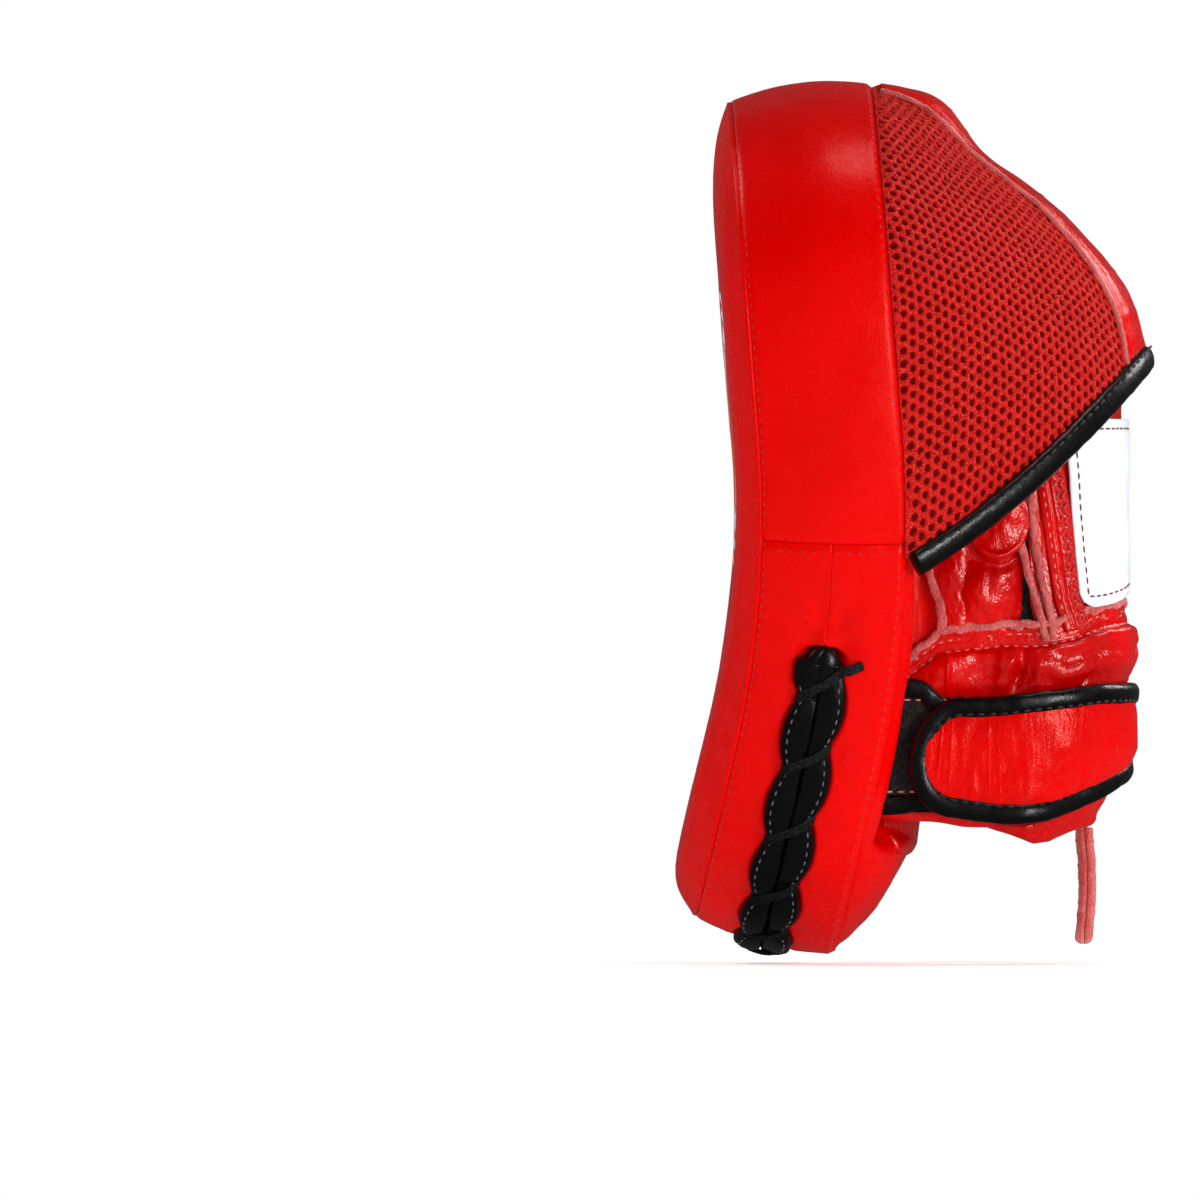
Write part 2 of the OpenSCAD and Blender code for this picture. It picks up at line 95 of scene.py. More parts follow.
def noise(a, b, seed=0):
    a = np.asarray(a, float) + seed * 17.31
    b = np.asarray(b, float) + seed * 9.73
    i, j = np.floor(a).astype(int), np.floor(b).astype(int)
    f, g = a - i, b - j
    f, g = f * f * (3 - 2 * f), g * g * (3 - 2 * g)
    at = lambda p, q: _lattice[p % 256, q % 256]
    return (at(i, j) * (1 - f) + at(i + 1, j) * f) * (1 - g) + (
        at(i, j + 1) * (1 - f) + at(i + 1, j + 1) * f
    ) * g


def spans(*parts):
    """Stretches of evenly spaced numbers, end to end; each is (from, to, count)."""
    runs = [np.linspace(*p)[:-1] for p in parts[:-1]]
    return np.concatenate(runs + [np.linspace(*parts[-1])])


def fbm(a, b, seed=0, octaves=3):
    out, k = 0.0, 1.0
    for n in range(octaves):
        out = out + k * noise(a / k, b / k, seed + 3 * n)
        k *= 0.5
    return out


def ridges(a, b, seed=0):
    """Thin folds: near 1 along lines, near 0 between them."""
    return np.clip(1 - 2.4 * np.abs(noise(a, b, seed)), 0, 1) ** 2


# ---- the pad's own space -------------------------------------------------
def pad(x, v, w):
    x, v, w = np.broadcast_arrays(*[np.asarray(k, float) for k in (x, v, w)])
    a = np.clip(v / BEND_R, -BEND_DOWN, BEND_UP)
    rest, r = v - BEND_R * a, BEND_R + w
    return np.stack(
        [x, BEND_Y + r * np.cos(a) - rest * np.sin(a), BEND_Z + r * np.sin(a) + rest * np.cos(a)], -1
    )


def pad_y(z, w):
    r = BEND_R + w
    a = np.clip(np.arcsin(np.clip((z - BEND_Z) / r, -1, 1)), -BEND_DOWN, BEND_UP)
    rest = (z - BEND_Z - r * np.sin(a)) / np.cos(a)
    return BEND_Y + r * np.cos(a) - rest * np.sin(a)


def _outline():
    top = (0.0, PAD_TOP - TOP_R)
    cor = (HALF_W - COR_R, top[1] + math.sqrt((TOP_R - COR_R) ** 2 - (HALF_W - COR_R) ** 2))
    side = (HALF_W - SIDE_R, cor[1])
    toe = (0.0, TOE_R - PAD_BOTTOM)
    cor_a = math.degrees(math.atan2(cor[1] - top[1], cor[0]))
    dx, dy = toe[0] - side[0], toe[1] - side[1]
    toe_a = math.degrees(math.atan2(dy, dx)) + math.degrees(math.acos((SIDE_R - TOE_R) / math.hypot(dx, dy)))
    points, normals = [], []
    for c, r, a, b in (
        (toe, TOE_R, -90, toe_a),
        (side, SIDE_R, toe_a, 0),
        (cor, COR_R, 0, cor_a),
        (top, TOP_R, cor_a, 90),
    ):
        t = np.radians(np.linspace(a, b, 240))
        points.append(np.stack([c[0] + r * np.cos(t), c[1] + r * np.sin(t)], 1))
        normals.append(np.stack([np.cos(t), np.sin(t)], 1))
    p, n = np.concatenate(points), np.concatenate(normals)
    s = np.concatenate([[0], np.cumsum(np.linalg.norm(np.diff(p, axis=0), axis=1))])
    return s, p, n


RIM_S, RIM_P, RIM_N = _outline()
HALF_L = RIM_S[-1]


def rim_xy(s, d=0.0):
    """x and v of the outline at arc length s from the toe (negative on -X), d outside it."""
    s = np.asarray(s, float)
    s = np.where(s > HALF_L, s - 2 * HALF_L, s)
    s = np.where(s < -HALF_L, s + 2 * HALF_L, s)
    side, k = np.where(s < 0, -1.0, 1.0), np.abs(s)
    g = lambda col: np.interp(k, RIM_S, col)
    return side * (g(RIM_P[:, 0]) + d * g(RIM_N[:, 0])), g(RIM_P[:, 1]) + d * g(RIM_N[:, 1])


def rim(s, d, w):
    s, d, w = np.broadcast_arrays(*[np.asarray(k, float) for k in (s, d, w)])
    x, v = rim_xy(s, d)
    return pad(x, v, w)


def s_at(v):
    low = RIM_P[:, 1]
    ok = RIM_P[:, 0] > 30
    return float(np.interp(v, low[ok], RIM_S[ok]))


S_SEAM, S_SLIT = s_at(SEAM_V), s_at(SLIT_V)


def bulge(w):
    t = np.clip(w / WALL, 0, 1)
    return FLARE * t + 3 * np.sin(math.pi * t)


# ---- the hood ------------------------------------------------------------
S_HOOD_END = s_at(-13.0)
S_TOP_END = HALF_L - TOP_R * math.radians(90 - 74.213)
S_SIDE_TOP = float(np.interp(0, np.interp(RIM_S, RIM_S, RIM_N[:, 1]), RIM_S))
_base_u = [0, 4 / 16, 11 / 16, 15 / 16, 1]
_base_s = [HALF_L - 4.0, S_TOP_END, S_SIDE_TOP, S_SEAM, S_HOOD_END]
_hood_top = rim(HALF_L, FLARE - 1, REAR_W + 0.4)
SPINE = np.array(
    [[_hood_top[1], _hood_top[2]], [-14, 215], [0, 199], [21, 183], [41, 160], [49, 137]], float
)


def spline(points, t):
    n = len(points) - 1
    s = np.clip(t, 0, 1) * n
    i = np.minimum(np.floor(s).astype(int), n - 1)
    f = (s - i)[..., None]
    ext = np.concatenate([[2 * points[0] - points[1]], points, [2 * points[-1] - points[-2]]])
    p0, p1, p2, p3 = ext[i], ext[i + 1], ext[i + 2], ext[i + 3]
    return p1 + 0.5 * f * ((p2 - p0) + f * ((2 * p0 - 5 * p1 + 4 * p2 - p3) + f * (3 * (p1 - p2) + p3 - p0)))


def hood(u, t):
    u, t = np.broadcast_arrays(np.asarray(u, float), np.asarray(t, float))
    b = rim(np.interp(u, _base_u, _base_s), FLARE - 1, REAR_W + 0.4)
    yz = spline(SPINE, u)
    q = np.concatenate([0.6 * b[..., :1], yz], -1)
    m = np.concatenate([0 * b[..., :1], yz], -1)
    k = t[..., None]
    p = (1 - k) ** 2 * b + 2 * k * (1 - k) * q + k**2 * m
    across = 1 - (1 - t) ** 2
    p[..., 2] -= 5.0 * 4 * across * (1 - across) * smooth(0.45, 1, u)
    return p


def hood_t(u, x):
    b = rim(np.interp(u, _base_u, _base_s), FLARE - 1, REAR_W + 0.4)[..., 0]
    return -2 + np.sqrt(9 - 5 * np.clip(x / np.maximum(b, 1), 0, 1))


# ---- the hand pocket -----------------------------------------------------
def glove_back(z):
    return np.interp(z, [-8, 4, 12, 36, 48, 54, 66, 140], [34, 37, 38.5, 39, 43, 44, 41.5, 41])


def glove_half(z):
    return np.interp(z, [-8, 20, 140], [CUFF_HALF - 4, CUFF_HALF, CUFF_HALF - 1])


def glove(q, z, d, size_at=None):
    q, z, d = np.broadcast_arrays(*[np.asarray(k, float) for k in (q, z, d)])
    side, k = np.where(q > 3, -1.0, 1.0), np.where(q > 3, 6 - q, q)
    zr = z if size_at is None else np.full_like(z, size_at)
    h, b, r = glove_half(zr) + d, glove_back(zr) + d, CUFF_CORNER + d
    y0, yc = pad_y(z, REAR_W + 0.6), b - r
    a = np.radians(90 * np.clip(k - 1, 0, 1))
    x = np.where(k <= 1, h, np.where(k <= 2, h - r + r * np.cos(a), (h - r) * (3 - k)))
    y = np.where(k <= 1, y0 + (yc - y0) * k, np.where(k <= 2, yc + r * np.sin(a), b))
    return np.stack([side * x, y, z], -1)


# ---- meshes --------------------------------------------------------------
def grid_normals(p, wrap_u=False, wrap_v=False):
    def grad(a, axis, wrap):
        if wrap:
            return np.roll(a, -1, axis) - np.roll(a, 1, axis)
        return np.gradient(a, axis=axis)

    return unit(np.cross(grad(p, 0, wrap_u), grad(p, 1, wrap_v)))


def new_object(name, verts, faces, uv=None, attributes=None):
    assert np.isfinite(np.asarray(verts)).all(), name
    mesh = bpy.data.meshes.new(name)
    mesh.from_pydata((np.asarray(verts) * 0.001).tolist(), [], faces)
    mesh.polygons.foreach_set("use_smooth", [True] * len(mesh.polygons))
    if uv is not None:
        layer = mesh.uv_layers.new(name="UVMap")
        loops = np.zeros(len(mesh.loops), int)
        mesh.loops.foreach_get("vertex_index", loops)
        layer.data.foreach_set("uv", (np.asarray(uv)[loops] * 0.001).astype(np.float32).ravel())
    for key, values in (attributes or {}).items():
        a = mesh.attributes.new(key, "FLOAT", "POINT")
        a.data.foreach_set("value", np.asarray(values, np.float32))
    mesh.update()
    o = bpy.data.objects.new(name, mesh)
    bpy.context.scene.collection.objects.link(o)
    return o


def sheet(name, p, thick, out, wrap_u=False, wrap_v=False, uv=None, attributes=None, inner=None):
    """A closed leather sheet: p is its outer grid, out a point that its outer side faces away from."""
    n = grid_normals(p, wrap_u, wrap_v)
    c = np.asarray(out, float)
    flip = np.sum(n * (p - c)) < 0
    if flip:
        n = -n
    back = p - thick * n if inner is None else inner
    rows, cols = p.shape[:2]
    idx = np.arange(rows * cols).reshape(rows, cols)
    ru, cu = (rows if wrap_u else rows - 1), (cols if wrap_v else cols - 1)
    i, j = np.meshgrid(np.arange(ru), np.arange(cu), indexing="ij")
    a, b = idx[i, j], idx[(i + 1) % rows, j]
    cc, d = idx[(i + 1) % rows, (j + 1) % cols], idx[i, (j + 1) % cols]
    front = np.stack([a, b, cc, d], -1).reshape(-1, 4)
    if flip:
        front = front[:, ::-1]
    count = rows * cols
    faces = [front, front[:, ::-1] + count]

    def strip(edge, reverse):
        e = np.asarray(edge)
        q = np.stack([e[:-1], e[1:], e[1:] + count, e[:-1] + count], -1)
        faces.append(q[:, ::-1] if reverse else q)

    if not wrap_v:
        strip(list(idx[:, 0]) + ([idx[0, 0]] if wrap_u else []), not flip)
        strip(list(idx[:, -1]) + ([idx[0, -1]] if wrap_u else []), flip)
    if not wrap_u:
        strip(list(idx[0]) + ([idx[0, 0]] if wrap_v else []), flip)
        strip(list(idx[-1]) + ([idx[-1, 0]] if wrap_v else []), not flip)
    verts = np.concatenate([p.reshape(-1, 3), back.reshape(-1, 3)])
    both = lambda m: np.concatenate([m.reshape(count, -1), m.reshape(count, -1)])
    o = new_object(
        name,
        verts,
        np.concatenate(faces).tolist(),
        None if uv is None else both(uv),
        {k: both(v).ravel() for k, v in (attributes or {}).items()},
    )
    return o


def tube(name, rings, closed=False):
    """A closed tube through rings of points, n x k x 3."""
    n, k = rings.shape[:2]
    idx = np.arange(n * k).reshape(n, k)
    i, j = np.meshgrid(np.arange(n if closed else n - 1), np.arange(k), indexing="ij")
    i2, j2 = (i + 1) % n, (j + 1) % k
    q = np.stack([idx[i, j], idx[i, j2], idx[i2, j2], idx[i2, j]], -1).reshape(-1, 4)
    faces, verts = q.tolist(), rings.reshape(-1, 3)
    if not closed:
        faces += [list(idx[0])[::-1], list(idx[-1])]
    centre = rings[n // 2].mean(0)
    a, b, c = rings[n // 2, 0], rings[n // 2, 1], rings[min(n // 2 + 1, n - 1), 0]
    if np.dot(np.cross(b - a, c - a), a - centre) < 0:
        faces = [list(f)[::-1] for f in faces]
    return new_object(name, verts, faces)


def frames(path, up):
    t = unit(np.gradient(path, axis=0))
    side = unit(np.cross(t, up))
    return t, side, unit(np.cross(side, t))


def sweep(name, path, up, half_side, half_up, sides=14, power=2.4, closed=False, jitter=0.0, seed=0):
    """A band of rounded section along a path; up is its outward direction at each point."""
    _, side, out = frames(path, up)
    a = np.linspace(0, 2 * math.pi, sides, endpoint=False)
    ca, sa = np.cos(a), np.sin(a)
    e = 2 / power
    cx, cy = np.sign(ca) * np.abs(ca) ** e, np.sign(sa) * np.abs(sa) ** e
    hs = np.broadcast_to(np.asarray(half_side, float), (len(path),))[:, None, None]
    hu = np.broadcast_to(np.asarray(half_up, float), (len(path),))[:, None, None]
    rings = path[:, None] + hs * cx[None, :, None] * side[:, None] + hu * cy[None, :, None] * out[:, None]
    if jitter:
        s = np.cumsum(np.concatenate([[0], np.linalg.norm(np.diff(path, axis=0), axis=1)]))
        j = jitter * fbm(s[:, None] / 3.0 + 0 * a[None], a[None] * 1.3 + 0 * s[:, None], seed)
        rings = rings + j[..., None] * unit(rings - path[:, None])
    return tube(name, rings, closed)


def resample(path, extra, step):
    s = np.concatenate([[0], np.cumsum(np.linalg.norm(np.diff(path, axis=0), axis=1))])
    n = max(int(round(s[-1] / step)), 2)
    k = np.linspace(0, s[-1], n)
    f = lambda a: np.stack([np.interp(k, s, a[:, i]) for i in range(a.shape[1])], 1)
    return f(path), [f(e) for e in extra]


def stitches(name, rows, length=2.2, radius=0.32, pitch=3.2, zigzag=0.0, sink=0.1):
    """Thread along rows of (path, normals): one small lozenge for each stitch."""
    ring = [(-0.5, 0.25), (-0.36, 0.8), (-0.12, 1), (0.12, 1), (0.36, 0.8), (0.5, 0.25)]
    sides = 6
    verts, faces = [], []
    for path, normals in rows:
        p, (n,) = resample(path, [normals], pitch)
        if len(p) < 3:
            continue
        _, side, up = frames(p, unit(n))
        for k in range(len(p) - 1):
            mid = 0.5 * (p[k] + p[k + 1])
            along = unit(p[k + 1] - p[k])
            if zigzag:
                sgn = 1 if k % 2 else -1
                a, b = p[k] - sgn * zigzag * side[k], p[k + 1] + sgn * zigzag * side[k + 1]
                along, mid, ln = unit(b - a), 0.5 * (a + b), np.linalg.norm(b - a) * 0.92
            else:
                ln = length
            s1 = unit(np.cross(along, up[k]))
            u1 = unit(np.cross(s1, along))
            base = len(verts)
            for x, r in ring:
                for j in range(sides):
                    a = 2 * math.pi * j / sides
                    verts.append(
                        mid + x * ln * along
                        + radius * r * (math.cos(a) * s1 * 1.15 + math.sin(a) * u1)
                        - sink * u1 - (2.2 * radius * abs(x) ** 2) * u1
                    )
            m = len(ring)
            for i in range(m - 1):
                for j in range(sides):
                    j2 = (j + 1) % sides
                    faces.append([base + i * sides + j, base + i * sides + j2,
                                  base + (i + 1) * sides + j2, base + (i + 1) * sides + j])
            faces.append([base + j for j in range(sides)][::-1])
            faces.append([base + (m - 1) * sides + j for j in range(sides)])
    o = new_object(name, np.array(verts), [f[::-1] for f in faces])
    return o


# ---- materials -----------------------------------------------------------
def lin(*srgb):
    return [(c / 12.92 if c <= 0.04045 else ((c + 0.055) / 1.055) ** 2.4) for c in [k / 255 for k in srgb]]


class Nodes:
    def __init__(self, name):
        self.m = bpy.data.materials.new(name)
        self.m.use_nodes = True
        self.t = self.m.node_tree
        self.t.nodes.clear()
        self.out = self.add("ShaderNodeOutputMaterial")
        self.bsdf = self.add("ShaderNodeBsdfPrincipled")
        self.t.links.new(self.bsdf.outputs[0], self.out.inputs[0])
        self.coord = self.add("ShaderNodeTexCoord")

    def add(self, kind, **kw):
        n = self.t.nodes.new(kind)
        for k, v in kw.items():
            setattr(n, k, v)
        return n

    def link(self, a, b):
        self.t.links.new(a, b)

    def noise(self, scale, detail=3.0, rough=0.55, vector=None, distortion=0.0):
        n = self.add("ShaderNodeTexNoise")
        n.inputs["Scale"].default_value = scale
        n.inputs["Detail"].default_value = detail
        n.inputs["Roughness"].default_value = rough
        n.inputs["Distortion"].default_value = distortion
        self.link(vector or self.coord.outputs["Object"], n.inputs["Vector"])
        return n.outputs["Fac"]

    def voronoi(self, scale, feature="DISTANCE_TO_EDGE", vector=None):
        n = self.add("ShaderNodeTexVoronoi", feature=feature)
        n.inputs["Scale"].default_value = scale
        self.link(vector or self.coord.outputs["Object"], n.inputs["Vector"])
        return n.outputs["Distance"]

    def ramp(self, fac, lo, hi, a=0.0, b=1.0):
        n = self.add("ShaderNodeMapRange")
        n.inputs["From Min"].default_value = lo
        n.inputs["From Max"].default_value = hi
        n.inputs["To Min"].default_value = a
        n.inputs["To Max"].default_value = b
        n.interpolation_type = "SMOOTHSTEP"
        self.link(fac, n.inputs["Value"])
        return n.outputs["Result"]

    def mix(self, fac, a, b):
        n = self.add("ShaderNodeMix", data_type="RGBA")
        for value, socket in ((fac, n.inputs["Factor"]), (a, n.inputs["A"]), (b, n.inputs["B"])):
            if isinstance(value, (list, tuple)):
                socket.default_value = [*value, 1] if len(value) == 3 else value
            elif isinstance(value, float):
                socket.default_value = value
            else:
                self.link(value, socket)
        return n.outputs["Result"]

    def math(self, op, a, b=None):
        n = self.add("ShaderNodeMath", operation=op)
        for value, socket in ((a, n.inputs[0]), (b, n.inputs[1])):
            if value is None:
                continue
            if isinstance(value, (int, float)):
                socket.default_value = value
            else:
                self.link(value, socket)
        return n.outputs[0]

    def bump(self, height, distance, strength=1.0, normal=None):
        n = self.add("ShaderNodeBump")
        n.inputs["Distance"].default_value = distance
        n.inputs["Strength"].default_value = strength
        self.link(height, n.inputs["Height"])
        if normal is not None:
            self.link(normal, n.inputs["Normal"])
        return n.outputs["Normal"]

    def set(self, **kw):
        names = {"rough": "Roughness", "spec": "Specular IOR Level", "coat": "Coat Weight",
                 "coat_rough": "Coat Roughness", "sheen": "Sheen Weight", "sheen_rough": "Sheen Roughness"}
        for k, v in kw.items():
            self.bsdf.inputs[names[k]].default_value = v


def leather(name, base, dark, light, rough=(0.24, 0.32), grain=900.0, depth=0.000022, crease=0.0003,
            coat=0.0, stretch=(1, 1, 1), spec=0.28, tint=(1.0, 0.3, 0.26)):
    n = Nodes(name)
    patch = n.noise(22, 2.0)
    fine = n.noise(520, 2.0)
    cells = n.voronoi(grain)
    pores = n.ramp(cells, 0.0, 0.3)
    mapping = n.add("ShaderNodeMapping")
    mapping.inputs["Scale"].default_value = stretch
    n.link(n.coord.outputs["Object"], mapping.inputs["Vector"])
    folds = n.noise(75, 4.0, 0.6, mapping.outputs["Vector"], 0.6)
    colour = n.mix(n.ramp(patch, 0.3, 0.62), list(dark), list(base))
    colour = n.mix(n.ramp(fine, 0.55, 0.8, 0.0, 0.1), colour, list(light))
    colour = n.mix(n.ramp(pores, 0.0, 1.0, 0.12, 0.0), colour, list(dark))
    n.link(colour, n.bsdf.inputs["Base Color"])
    n.link(n.ramp(fine, 0.3, 0.7, rough[0], rough[1]), n.bsdf.inputs["Roughness"])
    b = n.bump(pores, depth)
    b = n.bump(fine, depth * 0.5, 0.4, b)
    b = n.bump(folds, crease, 0.7, b)
    n.link(b, n.bsdf.inputs["Normal"])
    n.set(coat=coat, coat_rough=0.22, spec=spec)
    n.bsdf.inputs["Specular Tint"].default_value = (*tint, 1)
    return n


def cloth_like(name):
    n = Nodes(name)
    f = n.noise(1700, 3.0, 0.65)
    n.link(n.mix(n.ramp(f, 0.4, 0.7), lin(8, 8, 9), lin(34, 34, 36)), n.bsdf.inputs["Base Color"])
    n.link(n.bump(f, 0.0004), n.bsdf.inputs["Normal"])
    n.set(rough=0.55, spec=0.25)
    return n.m


RED, RED_DARK, RED_LIGHT = lin(220, 0, 0), lin(211, 0, 0), lin(226, 2, 0)
mat_red = leather("red_leather", RED, RED_DARK, RED_LIGHT).m
mat_glove = leather("red_glove_leather", lin(214, 0, 0), lin(176, 0, 0), lin(226, 6, 4),
                    rough=(0.15, 0.26), grain=800.0, depth=0.00004, crease=0.0013, stretch=(1.7, 1.7, 0.8),
                    spec=0.6, tint=(1.0, 0.7, 0.66)).m
mat_strap = leather("red_strap_leather", lin(216, 0, 0), lin(196, 0, 0), lin(226, 4, 2), rough=(0.18, 0.28),
                    grain=1000.0, depth=0.00003, crease=0.0009, stretch=(2.0, 2.0, 0.5), spec=0.45).m
mat_black = leather("black_leather", lin(8, 8, 9), lin(4, 4, 5), lin(15, 15, 16), rough=(0.27, 0.34),
                    grain=900.0, depth=0.00002, crease=0.0003, spec=0.4, tint=(1, 1, 1)).m
mat_lace = cloth_like("lace_cloth")
mat_white = leather("white_leather", lin(238, 241, 244), lin(214, 219, 224), lin(250, 251, 252),
                    rough=(0.3, 0.42), depth=0.00003, crease=0.0003, tint=(1, 1, 1)).m


def print_leather():
    """The face leather with its printed target, from the pad's own coordinates in the UV map."""
    n = leather("red_leather_printed", RED, RED_DARK, RED_LIGHT)
    colour = n.bsdf.inputs["Base Color"].links[0].from_socket
    uv = n.add("ShaderNodeUVMap", uv_map="UVMap")
    sep = n.add("ShaderNodeSeparateXYZ")
    n.link(uv.outputs[0], sep.inputs[0])
    dx = sep.outputs["X"]
    dy = n.math("SUBTRACT", sep.outputs["Y"], TARGET_V * 0.001)
    r = n.math("SQRT", n.math("ADD", n.math("MULTIPLY", dx, dx), n.math("MULTIPLY", dy, dy)))
    ragged = n.math("MULTIPLY", n.math("SUBTRACT", n.noise(900, 2.0), 0.5), 0.0005)
    r = n.math("ADD", r, ragged)
    white, orange = lin(247, 250, 253), lin(243, 74, 26)

    def ring(lo, hi):
        e = 0.00012
        return n.math("MULTIPLY", n.ramp(r, lo - e, lo + e), n.ramp(r, hi - e, hi + e, 1.0, 0.0))

    colour = n.mix(n.ramp(r, 0.0235 - 0.00012, 0.0235 + 0.00012, 1.0, 0.0), colour, orange)
    for lo, hi in ((0.0263, 0.0310), (0.0340, 0.0368), (0.0397, 0.0419)):
        colour = n.mix(ring(lo, hi), colour, white)
    n.link(colour, n.bsdf.inputs["Base Color"])
    return n.m


TARGET_V = 28.0
mat_face = print_leather()


def suede(name, base, dark, light):
    n = Nodes(name)
    fibre = n.noise(1500, 4.0, 0.7)
    patch = n.noise(120, 3.0)
    colour = n.mix(n.ramp(patch, 0.3, 0.7), list(dark), list(base))
    colour = n.mix(n.ramp(fibre, 0.45, 0.75), colour, list(light))
    n.link(colour, n.bsdf.inputs["Base Color"])
    b = n.bump(fibre, 0.0004)
    n.link(n.bump(patch, 0.0006, 0.6, b), n.bsdf.inputs["Normal"])
    n.set(rough=0.9, sheen=0.35, sheen_rough=0.5, spec=0.25)
    return n.m


mat_suede = suede("suede", lin(205, 88, 84), lin(170, 44, 42), lin(232, 140, 134))
mat_suede_red = suede("suede_red", lin(208, 84, 80), lin(184, 44, 42), lin(232, 132, 124))


def thread(name, colour):
    n = Nodes(name)
    mapping = n.noise(2600, 2.0)
    c = n.mix(n.ramp(mapping, 0.35, 0.65), [k * 0.55 for k in colour], list(colour))
    n.link(c, n.bsdf.inputs["Base Color"])
    n.link(n.bump(mapping, 0.00012), n.bsdf.inputs["Normal"])
    n.set(rough=0.55, sheen=0.2)
    return n.m


mat_thread_red = thread("thread_red", lin(196, 12, 10))
mat_thread_pink = thread("thread_pink", lin(236, 130, 118))
mat_thread_dark = thread("thread_dark_red", lin(122, 14, 14))
mat_thread_grey = thread("thread_grey", lin(104, 104, 107))
mat_thread_black = thread("thread_black", lin(20, 20, 21))


def mesh_fabric():
    n = Nodes("red_mesh")
    pit = n.add("ShaderNodeAttribute", attribute_name="pit").outputs["Fac"]
    fibre = n.noise(1900, 3.0, 0.65)
    patch = n.noise(60, 2.0)
    strand = n.mix(n.ramp(fibre, 0.42, 0.66), lin(164, 0, 0), lin(236, 56, 46))
    strand = n.mix(n.ramp(patch, 0.3, 0.75, 0.0, 0.5), strand, lin(205, 22, 20))
    colour = n.mix(n.ramp(pit, 0.1, 0.7), strand, lin(104, 0, 0))
    n.link(colour, n.bsdf.inputs["Base Color"])
    b = n.bump(fibre, 0.0005)
    n.link(b, n.bsdf.inputs["Normal"])
    n.set(rough=0.55, spec=0.18)
    n.bsdf.inputs["Specular Tint"].default_value = (1.0, 0.4, 0.36, 1)
    return n.m


mat_mesh = mesh_fabric()


def cloth(name, base, light, scale=1400.0, depth=0.0005, sheen=0.1):
    n = Nodes(name)
    f = n.noise(scale, 3.0, 0.7)
    n.link(n.mix(n.ramp(f, 0.45, 0.75), list(base), list(light)), n.bsdf.inputs["Base Color"])
    n.link(n.bump(f, depth), n.bsdf.inputs["Normal"])
    n.set(rough=0.95, sheen=sheen, spec=0.15)
    return n.m


mat_cloth = cloth("black_cloth", lin(15, 15, 16), lin(44, 44, 46))
mat_loop = cloth("loop_tape", lin(9, 9, 10), lin(58, 58, 60), 2200.0, 0.0009, 0.15)


def foam_material():
    n = Nodes("foam")
    pores = n.voronoi(700.0, "F1")
    colour = n.mix(n.ramp(pores, 0.1, 0.6), lin(188, 176, 138), lin(226, 216, 182))
    n.link(colour, n.bsdf.inputs["Base Color"])
    n.link(n.bump(pores, 0.0004), n.bsdf.inputs["Normal"])
    n.set(rough=0.95, spec=0.2)
    return n.m


mat_foam = foam_material()


def dress(o, material, nodes=(), ride=True):
    o.data.materials.clear()
    o.data.materials.append(material)
    if ride:
        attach(o, "mitt")
    if nodes:
        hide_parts(*nodes)
    return o


# carried-over CAD nodes get the finished materials
for key, m in (("foam_core", mat_foam), ("foam_rear", mat_foam),
               ("cuff_padding", mat_foam), ("lacing_tongue", mat_black), ("palm_panel", mat_glove),
               ("hand_back_lining", mat_cloth), ("thumb_gap_liner", mat_cloth), ("hook_tape", mat_loop)):
    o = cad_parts[key]
    o.data.materials.clear()
    o.data.materials.append(m)

# ---- the pad's covers ----------------------------------------------------
PAD_IN = arr(0, -46, 88)          # a point inside the pad


def ring_cover(name, profile, centre_v, thick_w, count=460, inner_rings=14, inset=0.0):
    """A cover over one side of the pad: rings inward from the outline, then a fan to the middle.
    profile(s, d) gives the depth w at distance d inside the outline."""
    s = np.linspace(-HALF_L, HALF_L, count, endpoint=False)
    ds = inset + np.array([0, 0.3, 0.8, 1.6, 2.6, 4, 5.5, 7.5, 10, 13, 17, 22, 28])
    xs, vs, dist = [], [], []
    for d in ds:
        x, v = rim_xy(s, -d)
        xs.append(x), vs.append(v), dist.append(np.full_like(x, d))
    x0, v0 = xs[-1], vs[-1]
    for k in range(1, inner_rings):
        f = k / inner_rings
        x, v = x0 * (1 - f), v0 * (1 - f) + centre_v * f
        xs.append(x), vs.append(v), dist.append(ds[-1] + f * np.hypot(x0, v0 - centre_v))
    x, v, d = np.array(xs), np.array(vs), np.array(dist)
    w = profile(s[None] + 0 * x, d, x, v)
    front = pad(x, v, w)
    back = pad(x, v, w + thick_w)
    rows, cols = x.shape
    cw = profile(np.zeros(1), np.array([99.0]), np.zeros(1), np.array([centre_v]))[0]
    cf, cb = pad(0, centre_v, cw), pad(0, centre_v, cw + thick_w)
    verts = np.concatenate([front.reshape(-1, 3), back.reshape(-1, 3), [cf, cb]])
    uv = np.stack([x.ravel(), v.ravel()], 1)
    uv = np.concatenate([uv, uv, [[0, centre_v], [0, centre_v]]])
    idx = np.arange(rows * cols).reshape(rows, cols)
    nxt = np.roll(idx, -1, axis=1)
    q = np.stack([idx[:-1], nxt[:-1], nxt[1:], idx[1:]], -1).reshape(-1, 4)
    n_ = rows * cols
    faces = q.tolist() + (q[:, ::-1] + n_).tolist()
    faces += np.stack([idx[0], idx[0] + n_, nxt[0] + n_, nxt[0]], -1).tolist()
    faces += [[int(a), int(b), 2 * n_] for a, b in zip(idx[-1], nxt[-1])]
    faces += [[int(b) + n_, int(a) + n_, 2 * n_ + 1] for a, b in zip(idx[-1], nxt[-1])]
    o = new_object(name, verts, faces, uv)
    import bmesh

    bm = bmesh.new()
    bm.from_mesh(o.data)
    bmesh.ops.recalc_face_normals(bm, faces=bm.faces)
    bm.to_mesh(o.data)
    bm.free()
    return o


def low(s):
    """1 on the laced part of the outline, 0 above it."""
    return smooth(S_SLIT + 14, S_SLIT - 30, np.abs(s))


